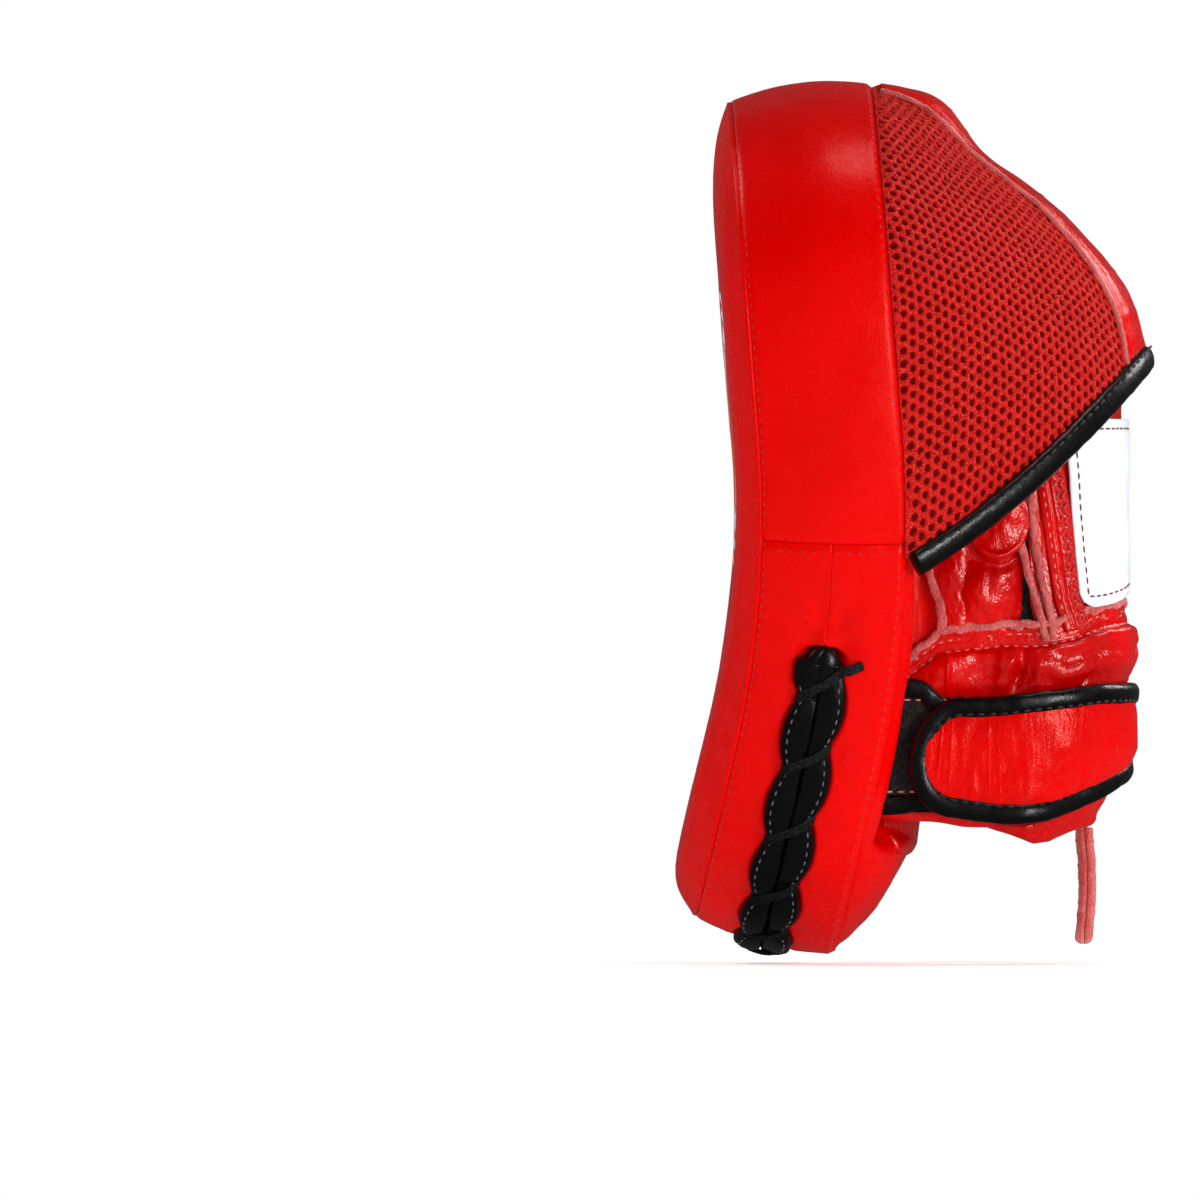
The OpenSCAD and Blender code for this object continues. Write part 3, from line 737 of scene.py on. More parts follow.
def face_profile(s, d, x, v):
    a = np.abs(s)
    soft = 6.2 + 5.0 * smooth(HALF_L - 110, HALF_L - 25, a) * smooth(60, 20, np.abs(d))
    w = 0.1 - (CROWN + 0.1) * (1 - np.exp(-((d / soft) ** 1.15)))
    w = w - 2.6 * smooth(10, -95, v) * (1 - np.exp(-((d / 6) ** 1.5)))
    w = w + 0.35 * fbm(x / 42, v / 42, 1) * smooth(6, 30, d)
    pucker = np.sin(s / 2.7 + 2.2 * noise(s / 17, 0 * s, 4)) * np.exp(-d / 7) * smooth(0.5, 2.5, d)
    waves = fbm(s / 16, d / 26, 9)
    return w + pucker * (0.12 + 0.28 * low(s)) + 0.5 * low(s) * waves * np.exp(-d / 16) * smooth(0.5, 4, d)


face = ring_cover("face_cover_leather", face_profile, 20.0, 1.3)
dress(face, mat_face, nodes=["face_cover"])
under_cover = lambda s, d, x, v: face_profile(s, d, x, v) + 1.7
block = ring_cover("foam_front_block", under_cover, 20.0, 9.0, count=240, inset=4.0)
dress(block, mat_foam, nodes=["foam_front"])


def heel(x, v):
    """The swell of the back cover under the heel of the hand."""
    high = np.interp(v, [-120, -117, -98, -84, -70, -50, -36], [0, 3.6, 10.7, 14.4, 13, 6, 0])
    half = np.interp(v, [-120, -94, -82, -30], [90, 70, 37, 35])
    return high * np.clip(1 - (np.abs(x) / half) ** 2.4, 0, 1) ** 0.7


def back_profile(s, d, x, v):
    edge = smooth(-1, 7, d)
    beside = smooth(41, 50, np.abs(x))
    w = WALL + 0.2 + 0.9 * smooth(0.0, 5, d) + (2.2 * smooth(10, -30, v) + 0.4) * edge * beside
    w = w + heel(x, v) * np.clip(d / 11, 0, 1) ** 0.6
    return w + 0.3 * fbm(x / 20, v / 20, 21) * edge


back = ring_cover("back_cover_leather", back_profile, -10.0, -1.2)
dress(back, mat_red, nodes=["back_cover"])


def wall_d(s, w):
    """How far the finished side wall stands outside the outline."""
    e = np.minimum(w, WALL - w)
    d = bulge(w) - 1.1 * bump(e, 0, 1.3)
    a = np.abs(s)
    seam = np.exp(-(((a - S_SEAM) / 1.5) ** 2))
    d = d - 0.75 * seam
    d = d + 0.35 * fbm(s / 30, w / 26, 2) * smooth(0, 6, e)
    d = d + 0.16 * np.sin(s / 3.1 + 2.5 * noise(s / 11, w / 30, 6)) * np.exp(-e / 3.2) * smooth(0.3, 1.6, e)
    # puckers round the top end of the lacing slit
    for sign in (-1, 1):
        ds, dw = s - sign * (S_SLIT + 1), w - SLIT_W
        r = np.hypot(ds, dw)
        ang = np.arctan2(dw, sign * ds)
        d = d + 0.6 * np.sin(7 * ang + 0.6) * np.exp(-r / 12) * smooth(4, 8, r)
        d = d - 1.6 * bump(r, 5, 5) * smooth(-6, 4, sign * ds + 6)
    # gathers where the lace pulls the two edges together
    o = w - SLIT_W
    pull = lace_pull(s, o) * (np.abs(s) < S_SLIT)
    o = np.abs(o)
    d = d - low(s) * 1.3 * pull * np.exp(-((o - 6.5) ** 2) / 30)
    d = d + low(s) * 0.30 * ridges(s / 9, o / 24, 5) * np.exp(-o / 14)
    return d


LACE_TURNS = 11
LACE_S = np.linspace(-S_SLIT + 11, S_SLIT - 11, LACE_TURNS)


STEP = (2 * S_SLIT - 22) / (LACE_TURNS - 1)
SLANT = 4.2        # how far a turn of lace climbs on each side of the middle


def swell(s, sign):
    """0 where the lace pinches a roll, 1 halfway between two turns; sign is -1 for the front roll."""
    f = (np.asarray(s, float) - LACE_S[0] - sign * SLANT) / STEP
    inside = np.abs(np.sin(math.pi * f)) ** 0.8
    beyond = np.minimum(np.clip(-f, 0, 1) + np.clip(f - (LACE_TURNS - 1), 0, 1), 0.3) / 0.3
    return np.where((f < 0) | (f > LACE_TURNS - 1), 0.85 * np.sin(beyond * math.pi / 2), inside)


def lace_pull(s, o=0.0):
    return 1 - swell(s, np.where(np.asarray(o) < 0, -1.0, 1.0))


def end_round(s, length):
    t = np.clip((S_SLIT - np.abs(s)) / length, 0, 1)
    return np.sqrt(1 - (1 - t) ** 2)


def roll_reach(s, sign):
    """Distance from the slit's middle to a roll's outer side."""
    return (5.2 + 3.6 * swell(s, sign)) * end_round(s, 7.5)


def slit_open(s, sign):
    """Half width of the opening in the red leather."""
    return np.maximum(roll_reach(s, sign) - 1.7, 0.25 * end_round(s, 3))


s_up = np.concatenate([np.linspace(S_SEAM, S_SEAM + 8, 14)[:-1],
                       np.linspace(S_SEAM + 8, 2 * HALF_L - S_SEAM - 8, 330)[:-1],
                       np.linspace(2 * HALF_L - S_SEAM - 8, 2 * HALF_L - S_SEAM, 14)])
w_edge = np.concatenate([np.linspace(0, 4, 9)[:-1], np.linspace(4, 40, 26)[:-1], np.linspace(40, 44, 9)])


def real_s(s):
    return np.where(s > HALF_L, s - 2 * HALF_L, s)


def upper_gusset():
    w = np.broadcast_to(w_edge, (len(s_up), len(w_edge)))
    ss = s_up[:, None] + 0 * w
    p = rim(ss, wall_d(real_s(ss), w), w)
    o = sheet("gusset_upper_leather", p, 1.4, PAD_IN, uv=np.stack([ss, w], -1))
    dress(o, mat_red, nodes=["gusset_upper"])


upper_gusset()


def lower_gusset():
    s = np.linspace(-S_SEAM, S_SEAM, 700)
    k = spans((0, 0.12, 7), (0.12, 0.8, 14), (0.8, 1, 10))
    front = np.outer(SLIT_W - slit_open(s, -1), k)
    rear = WALL - np.outer(WALL - SLIT_W - slit_open(s, 1), k)
    parts = []
    for nm, w, open_ in (("front", front, slit_open(s, -1)), ("rear", rear, slit_open(s, 1))):
        ss = s[:, None] + 0 * w
        d = wall_d(ss, w)
        e = np.abs(w - SLIT_W) - open_[:, None]
        opened = smooth(0.2, 2.5, open_)[:, None]
        d = d - opened * 2.4 * bump(e, 0, 1.6)
        p = rim(ss, d, w)
        parts.append(sheet("gusset_lower_" + nm, p, 1.4, PAD_IN, uv=np.stack([ss, w], -1)))
    dress(parts[0], mat_red, nodes=["gusset_lower"])
    dress(parts[1], mat_red)


lower_gusset()

# ---- the lacing ----------------------------------------------------------
def lacing_roll(sign, node):
    s = np.linspace(-S_SLIT + 4.5, S_SLIT - 4.5, 1000)
    sw, reach = swell(s, sign), roll_reach(s, sign)
    half = reach * 0.5 + 0.05
    lift = 2.5 + 0.5 * sw
    c = rim(s, lift, SLIT_W + sign * (reach * 0.5))
    out = unit(rim(s, lift + 1.0, SLIT_W + 0 * s) - rim(s, lift, SLIT_W + 0 * s))
    _, side, up = frames(c, out)
    if np.sum(side * (rim(s, lift, SLIT_W + 1) - rim(s, lift, SLIT_W + 0 * s))) < 0:
        side = -side
    a = np.linspace(0, 2 * math.pi, 30, endpoint=False)[None]
    tall = (2.7 + 0.75 * sw) * (0.25 + 0.75 * end_round(s, 6))
    ca, sa = np.cos(a), np.sin(a)
    inner = smooth(-0.1, 0.5, -sign * ca)     # the side that lies against the other roll is flat
    ex = np.sign(ca) * np.abs(ca) ** (0.86 - 0.44 * inner)
    ey = np.sign(sa) * np.abs(sa) ** (0.86 - 0.3 * inner)
    pinch = (1 - sw)[:, None]
    fold = 0.34 * pinch**0.7 * np.sin(4 * a + 1.2 + 0.22 * s[:, None] + 2 * noise(s[:, None] / 9, a, 3))
    fold = fold + 0.10 * fbm(s[:, None] / 7 + 0 * a, a * 1.2 + 0 * s[:, None], 13)
    # the row of stitches sinks a groove near the outer side
    fold = fold - 0.30 * np.exp(-(((a - (0.95 if sign > 0 else math.pi - 0.95)) / 0.16) ** 2))
    x = (half[:, None] + fold * 0.8) * ex
    y = (tall[:, None] + fold) * ey
    rings = c[:, None] + x[..., None] * side[:, None] + y[..., None] * up[:, None]
    o = tube(node + "_leather", rings)
    dress(o, mat_black, nodes=[node])
    k = int(round((0.95 if sign > 0 else math.pi - 0.95) / (2 * math.pi) * 30))
    sel = slice(26, -26)
    return rings[sel, k], unit(rings[sel, k] - c[sel])


roll_rows = [lacing_roll(-1, "lacing_roll_front"), lacing_roll(1, "lacing_roll_rear")]
o = stitches("lacing_roll_stitches", roll_rows, length=1.9, radius=0.24, pitch=3.2, sink=0.0)
dress(o, mat_thread_grey)


def braid(name, path, up, wide=1.5, thick=0.75):
    """A flat braided cord: two rows of slanting strands along its length."""
    _, side, out = frames(path, up)
    run = np.concatenate([[0], np.cumsum(np.linalg.norm(np.diff(path, axis=0), axis=1))])[:, None]
    a = np.linspace(0, 2 * math.pi, 20, endpoint=False)[None]
    ca, sa = np.cos(a), np.sin(a)
    ribs = 0.16 * np.sin(2 * math.pi * (run - 0.9 * np.abs(ca)) / 1.5)
    groove = -0.28 * bump(ca, 0, 0.2)
    x = (wide + 0.5 * ribs + 0.1 * fbm(run / 4, 0 * run, 8)) * np.sign(ca) * np.abs(ca) ** 0.8
    y = (thick + ribs + groove) * np.sign(sa) * np.abs(sa) ** 0.8
    return tube(name, path[:, None] + x[..., None] * side[:, None] + y[..., None] * out[:, None])


def lacing_cap(end, name):
    """The two rolls run into one rounded end under the first turn of lace."""
    t = np.sin(np.linspace(-0.5 * math.pi, 0.5 * math.pi, 70))
    s = end * (S_SLIT - 7.4 + 7.3 * t)
    r = np.clip(1 - np.abs(t) ** 2.4, 0.0003, 1) ** 0.5
    a = np.linspace(0, 2 * math.pi, 60, endpoint=False)[None]
    c = rim(s, 2.5, SLIT_W)
    up = unit(rim(s, 3.5, SLIT_W) - c)
    across = unit(rim(s, 2.5, SLIT_W + 1) - c)
    ca, sa = np.sign(np.cos(a)) * np.abs(np.cos(a)) ** 0.85, np.sign(np.sin(a)) * np.abs(np.sin(a)) ** 0.85
    crease = 0.55 * np.exp(-(((ca + 0.42 - 0.5 * t[:, None] ** 2) / 0.13) ** 2)) * smooth(0.2, 0.8, sa)
    pleat = 0.22 * np.sin(9 * a + 1.0) * smooth(-0.2, -0.8, t[:, None])
    x = r[:, None] * (5.5 + pleat) * ca
    y = r[:, None] * (3.75 + pleat - crease + 0.12 * fbm(a * 1.5, t[:, None] * 2, 14)) * sa
    o = tube(name, c[:, None] + x[..., None] * across[:, None] + y[..., None] * up[:, None])
    dress(o, mat_black)


lacing_cap(1, "lacing_cap_thumb_side")
lacing_cap(-1, "lacing_cap_outer_side")


def lace_object():
    """One flat lace whipped round both rolls: it climbs across the front and again underneath."""
    pts, outs = [], []
    for j, s0 in enumerate(LACE_S):
        last = j == len(LACE_S) - 1
        n = 80
        for i in range(n // 2 + 1 if last else n):
            f = i / n
            a = -math.pi / 2 + 2 * math.pi * f
            if f <= 0.5:
                s = s0 - SLANT - 0.8 + (2 * SLANT + 1.6) * smooth(0, 1, f / 0.5)
            else:
                s = s0 + SLANT + 0.8 + (STEP - 2 * SLANT - 1.6) * (f - 0.5) / 0.5
            ca, sa = math.cos(a), math.sin(a)
            lift = 2.6 + (3.6 if ca > 0 else 3.2) * math.copysign(abs(ca) ** 0.75, ca)
            across = 6.1 * math.copysign(abs(sa) ** 0.85, sa)
            pts.append(rim(s, lift, SLIT_W + across))
            outs.append(unit(rim(s, lift, SLIT_W + across) - rim(s, 2.0, SLIT_W + 0.6 * across) + 1e-6))
    p, o_ = np.array(pts), np.array(outs)
    p, (o_,) = resample(p, [o_], 0.45)
    ob = braid("lace_leather", p, unit(o_))
    dress(ob, mat_lace, nodes=["lace"])


lace_object()


def lace_tail(name, s, w, ds, dw, length):
    e_out = unit(rim(s, 9.0, SLIT_W) - rim(s, 6.0, SLIT_W))
    e_w = unit(rim(s, 6.0, SLIT_W + 1) - rim(s, 6.0, SLIT_W))
    e_s = unit(rim(s + 1, 6, SLIT_W) - rim(s, 6, SLIT_W))
    f = np.linspace(0, 1, 30)[:, None]
    c = rim(s, 5.0, SLIT_W + w)
    q = c + length * f * (ds * e_s + dw * e_w) + e_out * (1.0 * np.sin(math.pi * f) - 0.9 * f)
    q, (u_,) = resample(q, [np.repeat(e_out[None], 30, 0)], 0.45)
    b = braid(name, q, unit(u_))
    dress(b, mat_lace)


def knot(name, s, w):
    """An overhand knot at the lace's end."""
    c = rim(s, 6.6, SLIT_W + w)
    e_out = unit(rim(s, 9.0, SLIT_W) - rim(s, 6.0, SLIT_W))
    e_w = unit(rim(s, 6.0, SLIT_W + 1) - rim(s, 6.0, SLIT_W))
    e_s = unit(np.cross(e_out, e_w))
    t = np.linspace(0, 2 * math.pi, 130)
    r = 1.9 + 0.8 * np.cos(3 * t)
    x, y, z = r * np.cos(2 * t), r * np.sin(2 * t), 1.1 * np.sin(3 * t)
    p = c + 0.95 * x[:, None] * e_s + 1.0 * y[:, None] * e_w + z[:, None] * e_out
    a = sweep(name + "_loops", p[:-1], unit(p - c)[:-1], 1.05, 0.7, sides=10, closed=True)
    dress(a, mat_lace)


lace_tail("lace_tail_thumb_side", LACE_S[-1] + SLANT, 5.0, 0.42, 0.9, 7.5)
knot("lace_knot_outer_side", LACE_S[0] - SLANT, -5.5)
lace_tail("lace_tail_outer_side", LACE_S[0] - SLANT, -6.0, -0.9, -0.3, 7.0)

# ---- stitching round the pad ---------------------------------------------
rows = []
s = np.linspace(-HALF_L, HALF_L, 900)
for w0 in (1.9, WALL - 1.9):
    p = rim(s, wall_d(s, np.full_like(s, w0)), w0)
    n = unit(rim(s, 6, w0) - rim(s, 0, w0))
    rows.append((p, n))
ob = stitches("pad_seam_stitches", rows, length=1.9, radius=0.24, pitch=3.1, sink=0.12)
dress(ob, mat_thread_red)
rows = []
for sign in (-1, 1):
    w = np.linspace(1.5, WALL - 1.5, 80)
    s1 = sign * (S_SEAM - 2.6) + 0 * w
    rows.append((rim(s1, wall_d(s1, w), w), unit(rim(s1, 6, w) - rim(s1, 0, w))))
ob = stitches("gusset_seam_stitches", rows, length=1.9, radius=0.24, pitch=3.1, sink=0.12)
dress(ob, mat_thread_red)


# ---- the hood ------------------------------------------------------------
def hex_pits(a, b, pitch):
    """How deep each point lies in a staggered grid of round holes: 1 in a hole, 0 on a strand."""
    best = np.full(np.shape(a), 9.0)
    h = pitch * math.sqrt(3) / 2
    row = np.floor(b / h)
    for dr in (0, 1):
        r = row + dr
        off = 0.5 * pitch * np.mod(r, 2)
        c = np.round((a - off) / pitch) * pitch + off
        best = np.minimum(best, np.hypot(a - c, (b - r * h)))
    return smooth(0.37, 0.19, best / pitch)


def hood_mesh(sign, node):
    nu, nt = 360, 184
    u = np.linspace(0.075, 0.968, nu)[:, None]
    edge = hood_t(u, SPINE_HALF - 1.5)
    t = np.linspace(0, 1, nt)[None] * edge
    p = hood(u + 0 * t, t)
    n = grid_normals(p)
    if np.sum(n * (p - arr(0, -20, 120))) < 0:
        n = -n
    # the cloth runs down to the pad's rear seam
    sb = np.interp(u[:, 0], _base_u, _base_s)
    nh = 7
    ks = np.linspace(1, 1 / nh, nh)
    hem = np.stack([rim(sb, FLARE - 1 + 0.5 * k, REAR_W + 0.4 - 2.9 * k) for k in ks], 1)
    p = np.concatenate([hem, p], 1)
    n = np.concatenate([np.repeat(n[:, :1], nh, 1), n], 1)
    t = np.concatenate([np.zeros((nu, nh)), t], 1)
    e1 = unit(arr(-0.72, 0.69, 0))
    nn = unit(arr(0.60, 0.62, 0.5))
    e2 = np.cross(nn, e1)
    a, b = p @ e1, p @ e2
    wob = 0.25 * fbm(a / 12, b / 12, 31)
    pitch = 3.25
    pit = hex_pits(b + wob, a - wob, pitch)
    pit[:, :2] = 0
    strand = np.cos(2 * math.pi * (b + wob) / pitch)
    lift = 0.25 * fbm(a / 1.6, b / 1.6, 8) + 0.22 * strand
    sag = 1.1 * fbm(a / 30, b / 30, 40) * smooth(0, 0.15, t) * smooth(1, 0.85, t / np.maximum(edge, 1e-6))
    p = p + n * (sag + lift * 0.6 + 0.35 - 1.15 * pit)[..., None]
    if sign < 0:
        p = p * arr(-1, 1, 1)
    o = sheet(node + "_fabric", p, 1.5, arr(0, -20, 120), attributes={"pit": pit})
    dress(o, mat_mesh, nodes=[node])


hood_mesh(1, "hood_mesh_thumb_side")
hood_mesh(-1, "hood_mesh_outer_side")


def signed_hood(u, x):
    """The hood's surface at x from the middle line."""
    t = hood_t(u, np.abs(x))
    p = hood(u, t)
    p[..., 0] = np.where(x < 0, -p[..., 0], p[..., 0])
    return p


def hood_spine():
    u = np.linspace(0.012, 0.985, 210)[:, None]
    x = np.linspace(-SPINE_HALF, SPINE_HALF, 61)[None]
    p = signed_hood(u + 0 * x, x + 0 * u)
    n = grid_normals(p)
    if np.sum(n * (p - arr(0, -20, 120))) < 0:
        n = -n
    e = SPINE_HALF - np.abs(x)
    lift = 0.9 + 0.5 * smooth(0, 3, e) - 0.55 * bump(e, 2.6, 0.9) - 0.45 * bump(e, 6, 0.9)
    uu = u * 190
    lift = lift + 0.45 * fbm(uu / 30, x / 30, 51) + 0.25 * ridges(uu / 14, x / 50, 52) * smooth(2, 10, e)
    p = p + n * lift[..., None]
    wdir = arr(0, math.cos(BEND_UP), math.sin(BEND_UP))
    hem = [p[0] - (5.4 * f * wdir) - arr(0, 0, 1.6 * f) for f in (1.0, 0.66, 0.33)]
    p = np.concatenate([np.stack(hem), p])
    n = np.concatenate([n[:1], n[:1], n[:1], n])
    o = sheet("hood_spine_leather", p, 1.4, arr(0, -20, 120))
    dress(o, mat_strap, nodes=["hood_spine"])
    rows = []
    for column in (3, 7, 57, 53):
        rows.append((p[7:-8, column], n[7:-8, column]))
    ob = stitches("hood_spine_stitches", rows, length=2.0, radius=0.26, pitch=3.3, sink=0.05)
    dress(ob, mat_thread_red)
    for j, nm in ((0, "outer"), (60, "thumb")):
        edge, up = p[3:-4, j], n[3:-4, j]
        ob = sweep(f"hood_spine_raw_edge_{nm}", edge + 0.1 * up, up, 0.75, 0.75, sides=10, power=3,
                   jitter=0.22, seed=9)
        dress(ob, mat_suede)


hood_spine()


def hood_binding():
    t = np.linspace(0.0, 1, 150)
    right = hood(np.full_like(t, 0.985), t)
    r_in = hood(np.full_like(t, 0.955), t)
    left = right[:-1][::-1] * arr(-1, 1, 1)
    left_in = r_in[:-1][::-1] * arr(-1, 1, 1)
    path, inner = np.concatenate([right, left]), np.concatenate([r_in, left_in])
    down = unit(path - inner)
    tan = unit(np.gradient(path, axis=0))
    out = unit(np.cross(tan, down))
    if np.sum(out * (path - arr(0, -20, 100))) < 0:
        out = -out
    path = path - 0.4 * down
    mid = bump(np.arange(len(path)), len(path) / 2, 9)
    o = sweep("hood_binding_leather", path + out * (0.9 - 0.5 * mid)[:, None], out, 3.9 - 0.9 * mid, 2.3,
              sides=22, power=2.3, jitter=0.12, seed=3)
    dress(o, mat_black, nodes=["hood_binding"])
    row = path - down * 2.7 + out * 2.85
    ob = stitches("hood_binding_stitches", [(row[3:-3], out[3:-3])], length=2.5, radius=0.36, pitch=3.6,
                  sink=0.0)
    dress(ob, mat_thread_black)


hood_binding()


# ---- the glove -----------------------------------------------------------
def cuff_top(q):
    """Height of the cuff's raw upper edge, which rises toward the back of the wrist."""
    y = glove(q, 55.0, 0.0)[..., 1]
    z = np.interp(y, [-30, -26, -20, -13.5, 0, 16, 26, 36, 44],
                  [44.5, 46.5, 51.5, 56.6, 57.9, 58.8, 60.6, 64, 65.6])
    return z + 0.55 * fbm(q * 5, 0 * q, 71)


def cuff_low(q):
    """Height of the cuff's lower edge."""
    y = glove(q, 10.0, 0.0)[..., 1]
    z = np.interp(y, [-35, -20, 3, 12, 19, 25, 31, 37, 44], [3, 2.4, 1.0, -1.6, -3.8, -3.6, -1.8, 0.4, 1.2])
    return z + 0.5 * fbm(q * 3, 0 * q, 77)


def tuck(z, y):
    """How far the cuff's lower back turns in toward the wrist."""
    return np.interp(z, [-8, -2, 0.4, 6, 12], [7, 5.5, 4.2, 1.7, 0]) * smooth(10, 34, y)


def cuff_lift(q, z):
    """How far the cuff's leather stands off its CAD surface."""
    top = cuff_top(q)
    hem = smooth(top - 7.5, top - 5.5, z)
    band = smooth(36, 44, z) * (1 - hem)
    lip = smooth(4, -2, z)
    y = glove(q, z, 0.0)[..., 1]
    d = 0.3 + band * 1.5 + lip * 1.2 - tuck(z, y)
    band = band * (1 - 0.7 * smooth(22, 38, y))
    wide = fbm(q * 2.6, z / 26, 81)
    raised, sunk = ridges(q * 5.5 + z / 40, z / 34, 82), ridges(q * 4 + 3 - z / 60, z / 22, 83)
    d = d + band * (1.5 * wide + 1.5 * raised - 1.3 * sunk)
    rolls = np.sin((z - 44.5 - 2.5 * fbm(q * 2.2, 0 * z, 85)) / 1.55)
    under_hem = smooth(top - 5.8, top - 7.5, z)
    d = d + 0.9 * rolls * smooth(40, 44, z) * under_hem * (0.6 + 0.6 * noise(q * 5, z / 30, 86))
    d = d - 2.2 * band * np.exp(-(((q - 0.93 + (z - 50) / 300) / 0.05) ** 2))
    d = d + lip * (0.9 * fbm(q * 6, z / 9, 84))
    d = d - 0.5 * bump(z, top - 6.2, 0.9) - 0.35 * bump(z, top - 2.6, 0.9)
    return d


def cuff():
    q = np.concatenate([np.linspace(0, 2, 170)[:-1], np.linspace(2, 4, 110)[:-1], np.linspace(4, 6, 170)])
    k = np.concatenate([np.linspace(0, 0.1, 8)[:-1], np.linspace(0.1, 0.6, 26)[:-1], np.linspace(0.6, 1, 44)])
    lowz, top = cuff_low(q), cuff_top(q)
    z = lowz[:, None] + (top - lowz)[:, None] * k[None]
    qq = q[:, None] + 0 * z
    d = cuff_lift(qq, z)
    p = glove(qq, z, d)
    # the lower edge rolls in over the padding
    a = np.linspace(math.pi * 0.98, 0.12, 12)
    lip = []
    for ang in a:
        dd = d[:, 0] - 3.1 - 3.1 * -math.cos(ang)
        dd = d[:, 0] - 3.1 + 3.1 * math.cos(ang)
        lip.append(glove(q, lowz - 2.2 * math.sin(ang), dd))
    p = np.concatenate([np.stack(lip, 1), p], 1)
    o = sheet("cuff_shell_leather", p, 1.3, arr(0, 0, 25))
    dress(o, mat_glove, nodes=["cuff_shell"])
    # raw edge along the top
    zt = top + 0.2
    near = np.exp(-(((np.minimum(q, 6 - q) - 0.85) / 0.3) ** 2))
    path = glove(q, zt, cuff_lift(q, top) - 0.3 + 1.3 * near)
    out = unit(glove(q, zt, 5.0) - glove(q, zt, 0.0))
    path = path + np.stack([0 * q, 0 * q, 0.55 * fbm(q * 26, 0 * q, 91)], 1)
    ob = sweep("cuff_raw_edge", path, out, 1.15, 1.25, sides=10, power=3, jitter=0.45, seed=7)
    dress(ob, mat_suede)
    rows = []
    for drop in (2.6, 6.2):
        zz = top - drop
        pp = glove(q, zz, cuff_lift(q, zz))
        rows.append((pp, unit(glove(q, zz, 5.0) - glove(q, zz, 0.0))))
    ob = stitches("cuff_hem_stitches", rows, length=1.8, radius=0.27, pitch=2.9, sink=0.05)
    dress(ob, mat_thread_pink)
    # padding, hidden between the leather and the lining
    z = lowz[:, None] + 3.5 + (cuff_top(q) - lowz - 13)[:, None] * np.linspace(0, 1, 20)[None]
    inset = -2.2 - tuck(z, glove(q[:, None] + 0 * z, z, 0.0)[..., 1])
    pp = glove(q[:, None] + 0 * z, z, inset)
    ob = sheet("cuff_padding_foam", pp, 3.0, arr(0, 0, 25))
    dress(ob, mat_foam, nodes=["cuff_padding"])
    # lining
    top_l = np.where(np.minimum(q, 6 - q) < 0.45, np.minimum(cuff_top(q) + 3.5, 56), cuff_top(q) - 1)
    z = (lowz + 0.4)[:, None] + (top_l - lowz - 0.4)[:, None] * np.linspace(0, 1, 34)[None]
    sink = -6.4 - tuck(z, glove(q[:, None] + 0 * z, z, 0.0)[..., 1])
    pl = glove(q[:, None] + 0 * z, z + 0 * q[:, None], sink + 0.3 * fbm(q[:, None] * 4, z / 9, 95))
    ob = sheet("cuff_lining_cloth", pl, 0.7, arr(0, 0, 25))
    dress(ob, mat_cloth, nodes=["cuff_lining"])


cuff()


def back_lift(q, z):
    f = 0.8 * fbm(q * 3, z / 24, 61) + 0.7 * ridges(q * 6, z / 60, 62)
    return 0.1 + f * smooth(1.25, 1.05, np.where(q > 3, 6 - q, q)) * 0.5 + 0.35 * f


def hand_back():
    q = np.concatenate([np.linspace(1.04, 2, 110)[:-1], np.linspace(2, 4, 80)[:-1], np.linspace(4, 6, 170)])
    k = np.linspace(0, 1, 90)[None]
    lowz = (cuff_top(q) - 5)[:, None]
    z = lowz + (128 - lowz) * k
    qq = q[:, None] + 0 * z
    p = glove(qq, z, back_lift(qq, z) - 0.2)
    o = sheet("hand_back_leather", p, 1.3, arr(0, 0, 90))
    dress(o, mat_glove, nodes=["hand_back_panel"])


hand_back()


def lean(z):
    """The seams on the thumb's side run back as they go down."""
    return 0.155 * np.clip((112 - np.asarray(z, float)) / 50, 0, 1.1)


def seam_strip(node, q0, q1, mirror):
    """A strip with a plaited double row of zigzag thread, and the plain folded seam beside it."""
    z = np.linspace(0, 1, 120)[:, None]
    q = np.linspace(q0, q1, 31)[None]
    lowz = cuff_top(q + 0.12) - 3
    zz = lowz + (127 - lowz) * z
    f = (q - q0) / (q1 - q0) + 0 * z
    lift = 0.6 + 1.3 * np.sin(math.pi * np.clip(f, 0, 1)) ** 0.6
    lift = lift - 0.8 * bump(f, 0.36, 0.045) - 0.35 * bump(f, 0.68, 0.04)
    lift = lift + 0.35 * fbm(zz / 9, f * 3, 64) + 0.25 * np.cos(zz * 2 * math.pi / 3.1) * bump(f, 0.68, 0.2)
    qq = q + lean(zz)
    qq = 6 - qq if mirror else qq
    p = glove(qq, zz, lift)
    o = sheet(node + "_leather", p, 1.0, arr(0, 0, 90))
    dress(o, mat_glove, nodes=[node])
    rows, rows2 = [], []
    for fr in (0.58, 0.78):
        j = int(round(fr * 30))
        n = unit(glove(qq[:, j], zz[:, j], 5.0) - glove(qq[:, j], zz[:, j], 0.0))
        rows.append((p[:, j] + 0.1 * n, n))
    for fr in (0.16,):
        j = int(round(fr * 30))
        n = unit(glove(qq[:, j], zz[:, j], 5.0) - glove(qq[:, j], zz[:, j], 0.0))
        rows2.append((p[:, j], n))
    ob = stitches(node + "_zigzag", rows, radius=0.34, pitch=1.9, zigzag=0.95, sink=0.0)
    dress(ob, mat_thread_red)
    ob = stitches(node + "_stitches", rows2, length=1.9, radius=0.25, pitch=3.0)
    dress(ob, mat_thread_pink)


seam_strip("seam_strip_thumb_side", 1.05, 1.25, False)
seam_strip("seam_strip_outer_side", 1.05, 1.25, True)


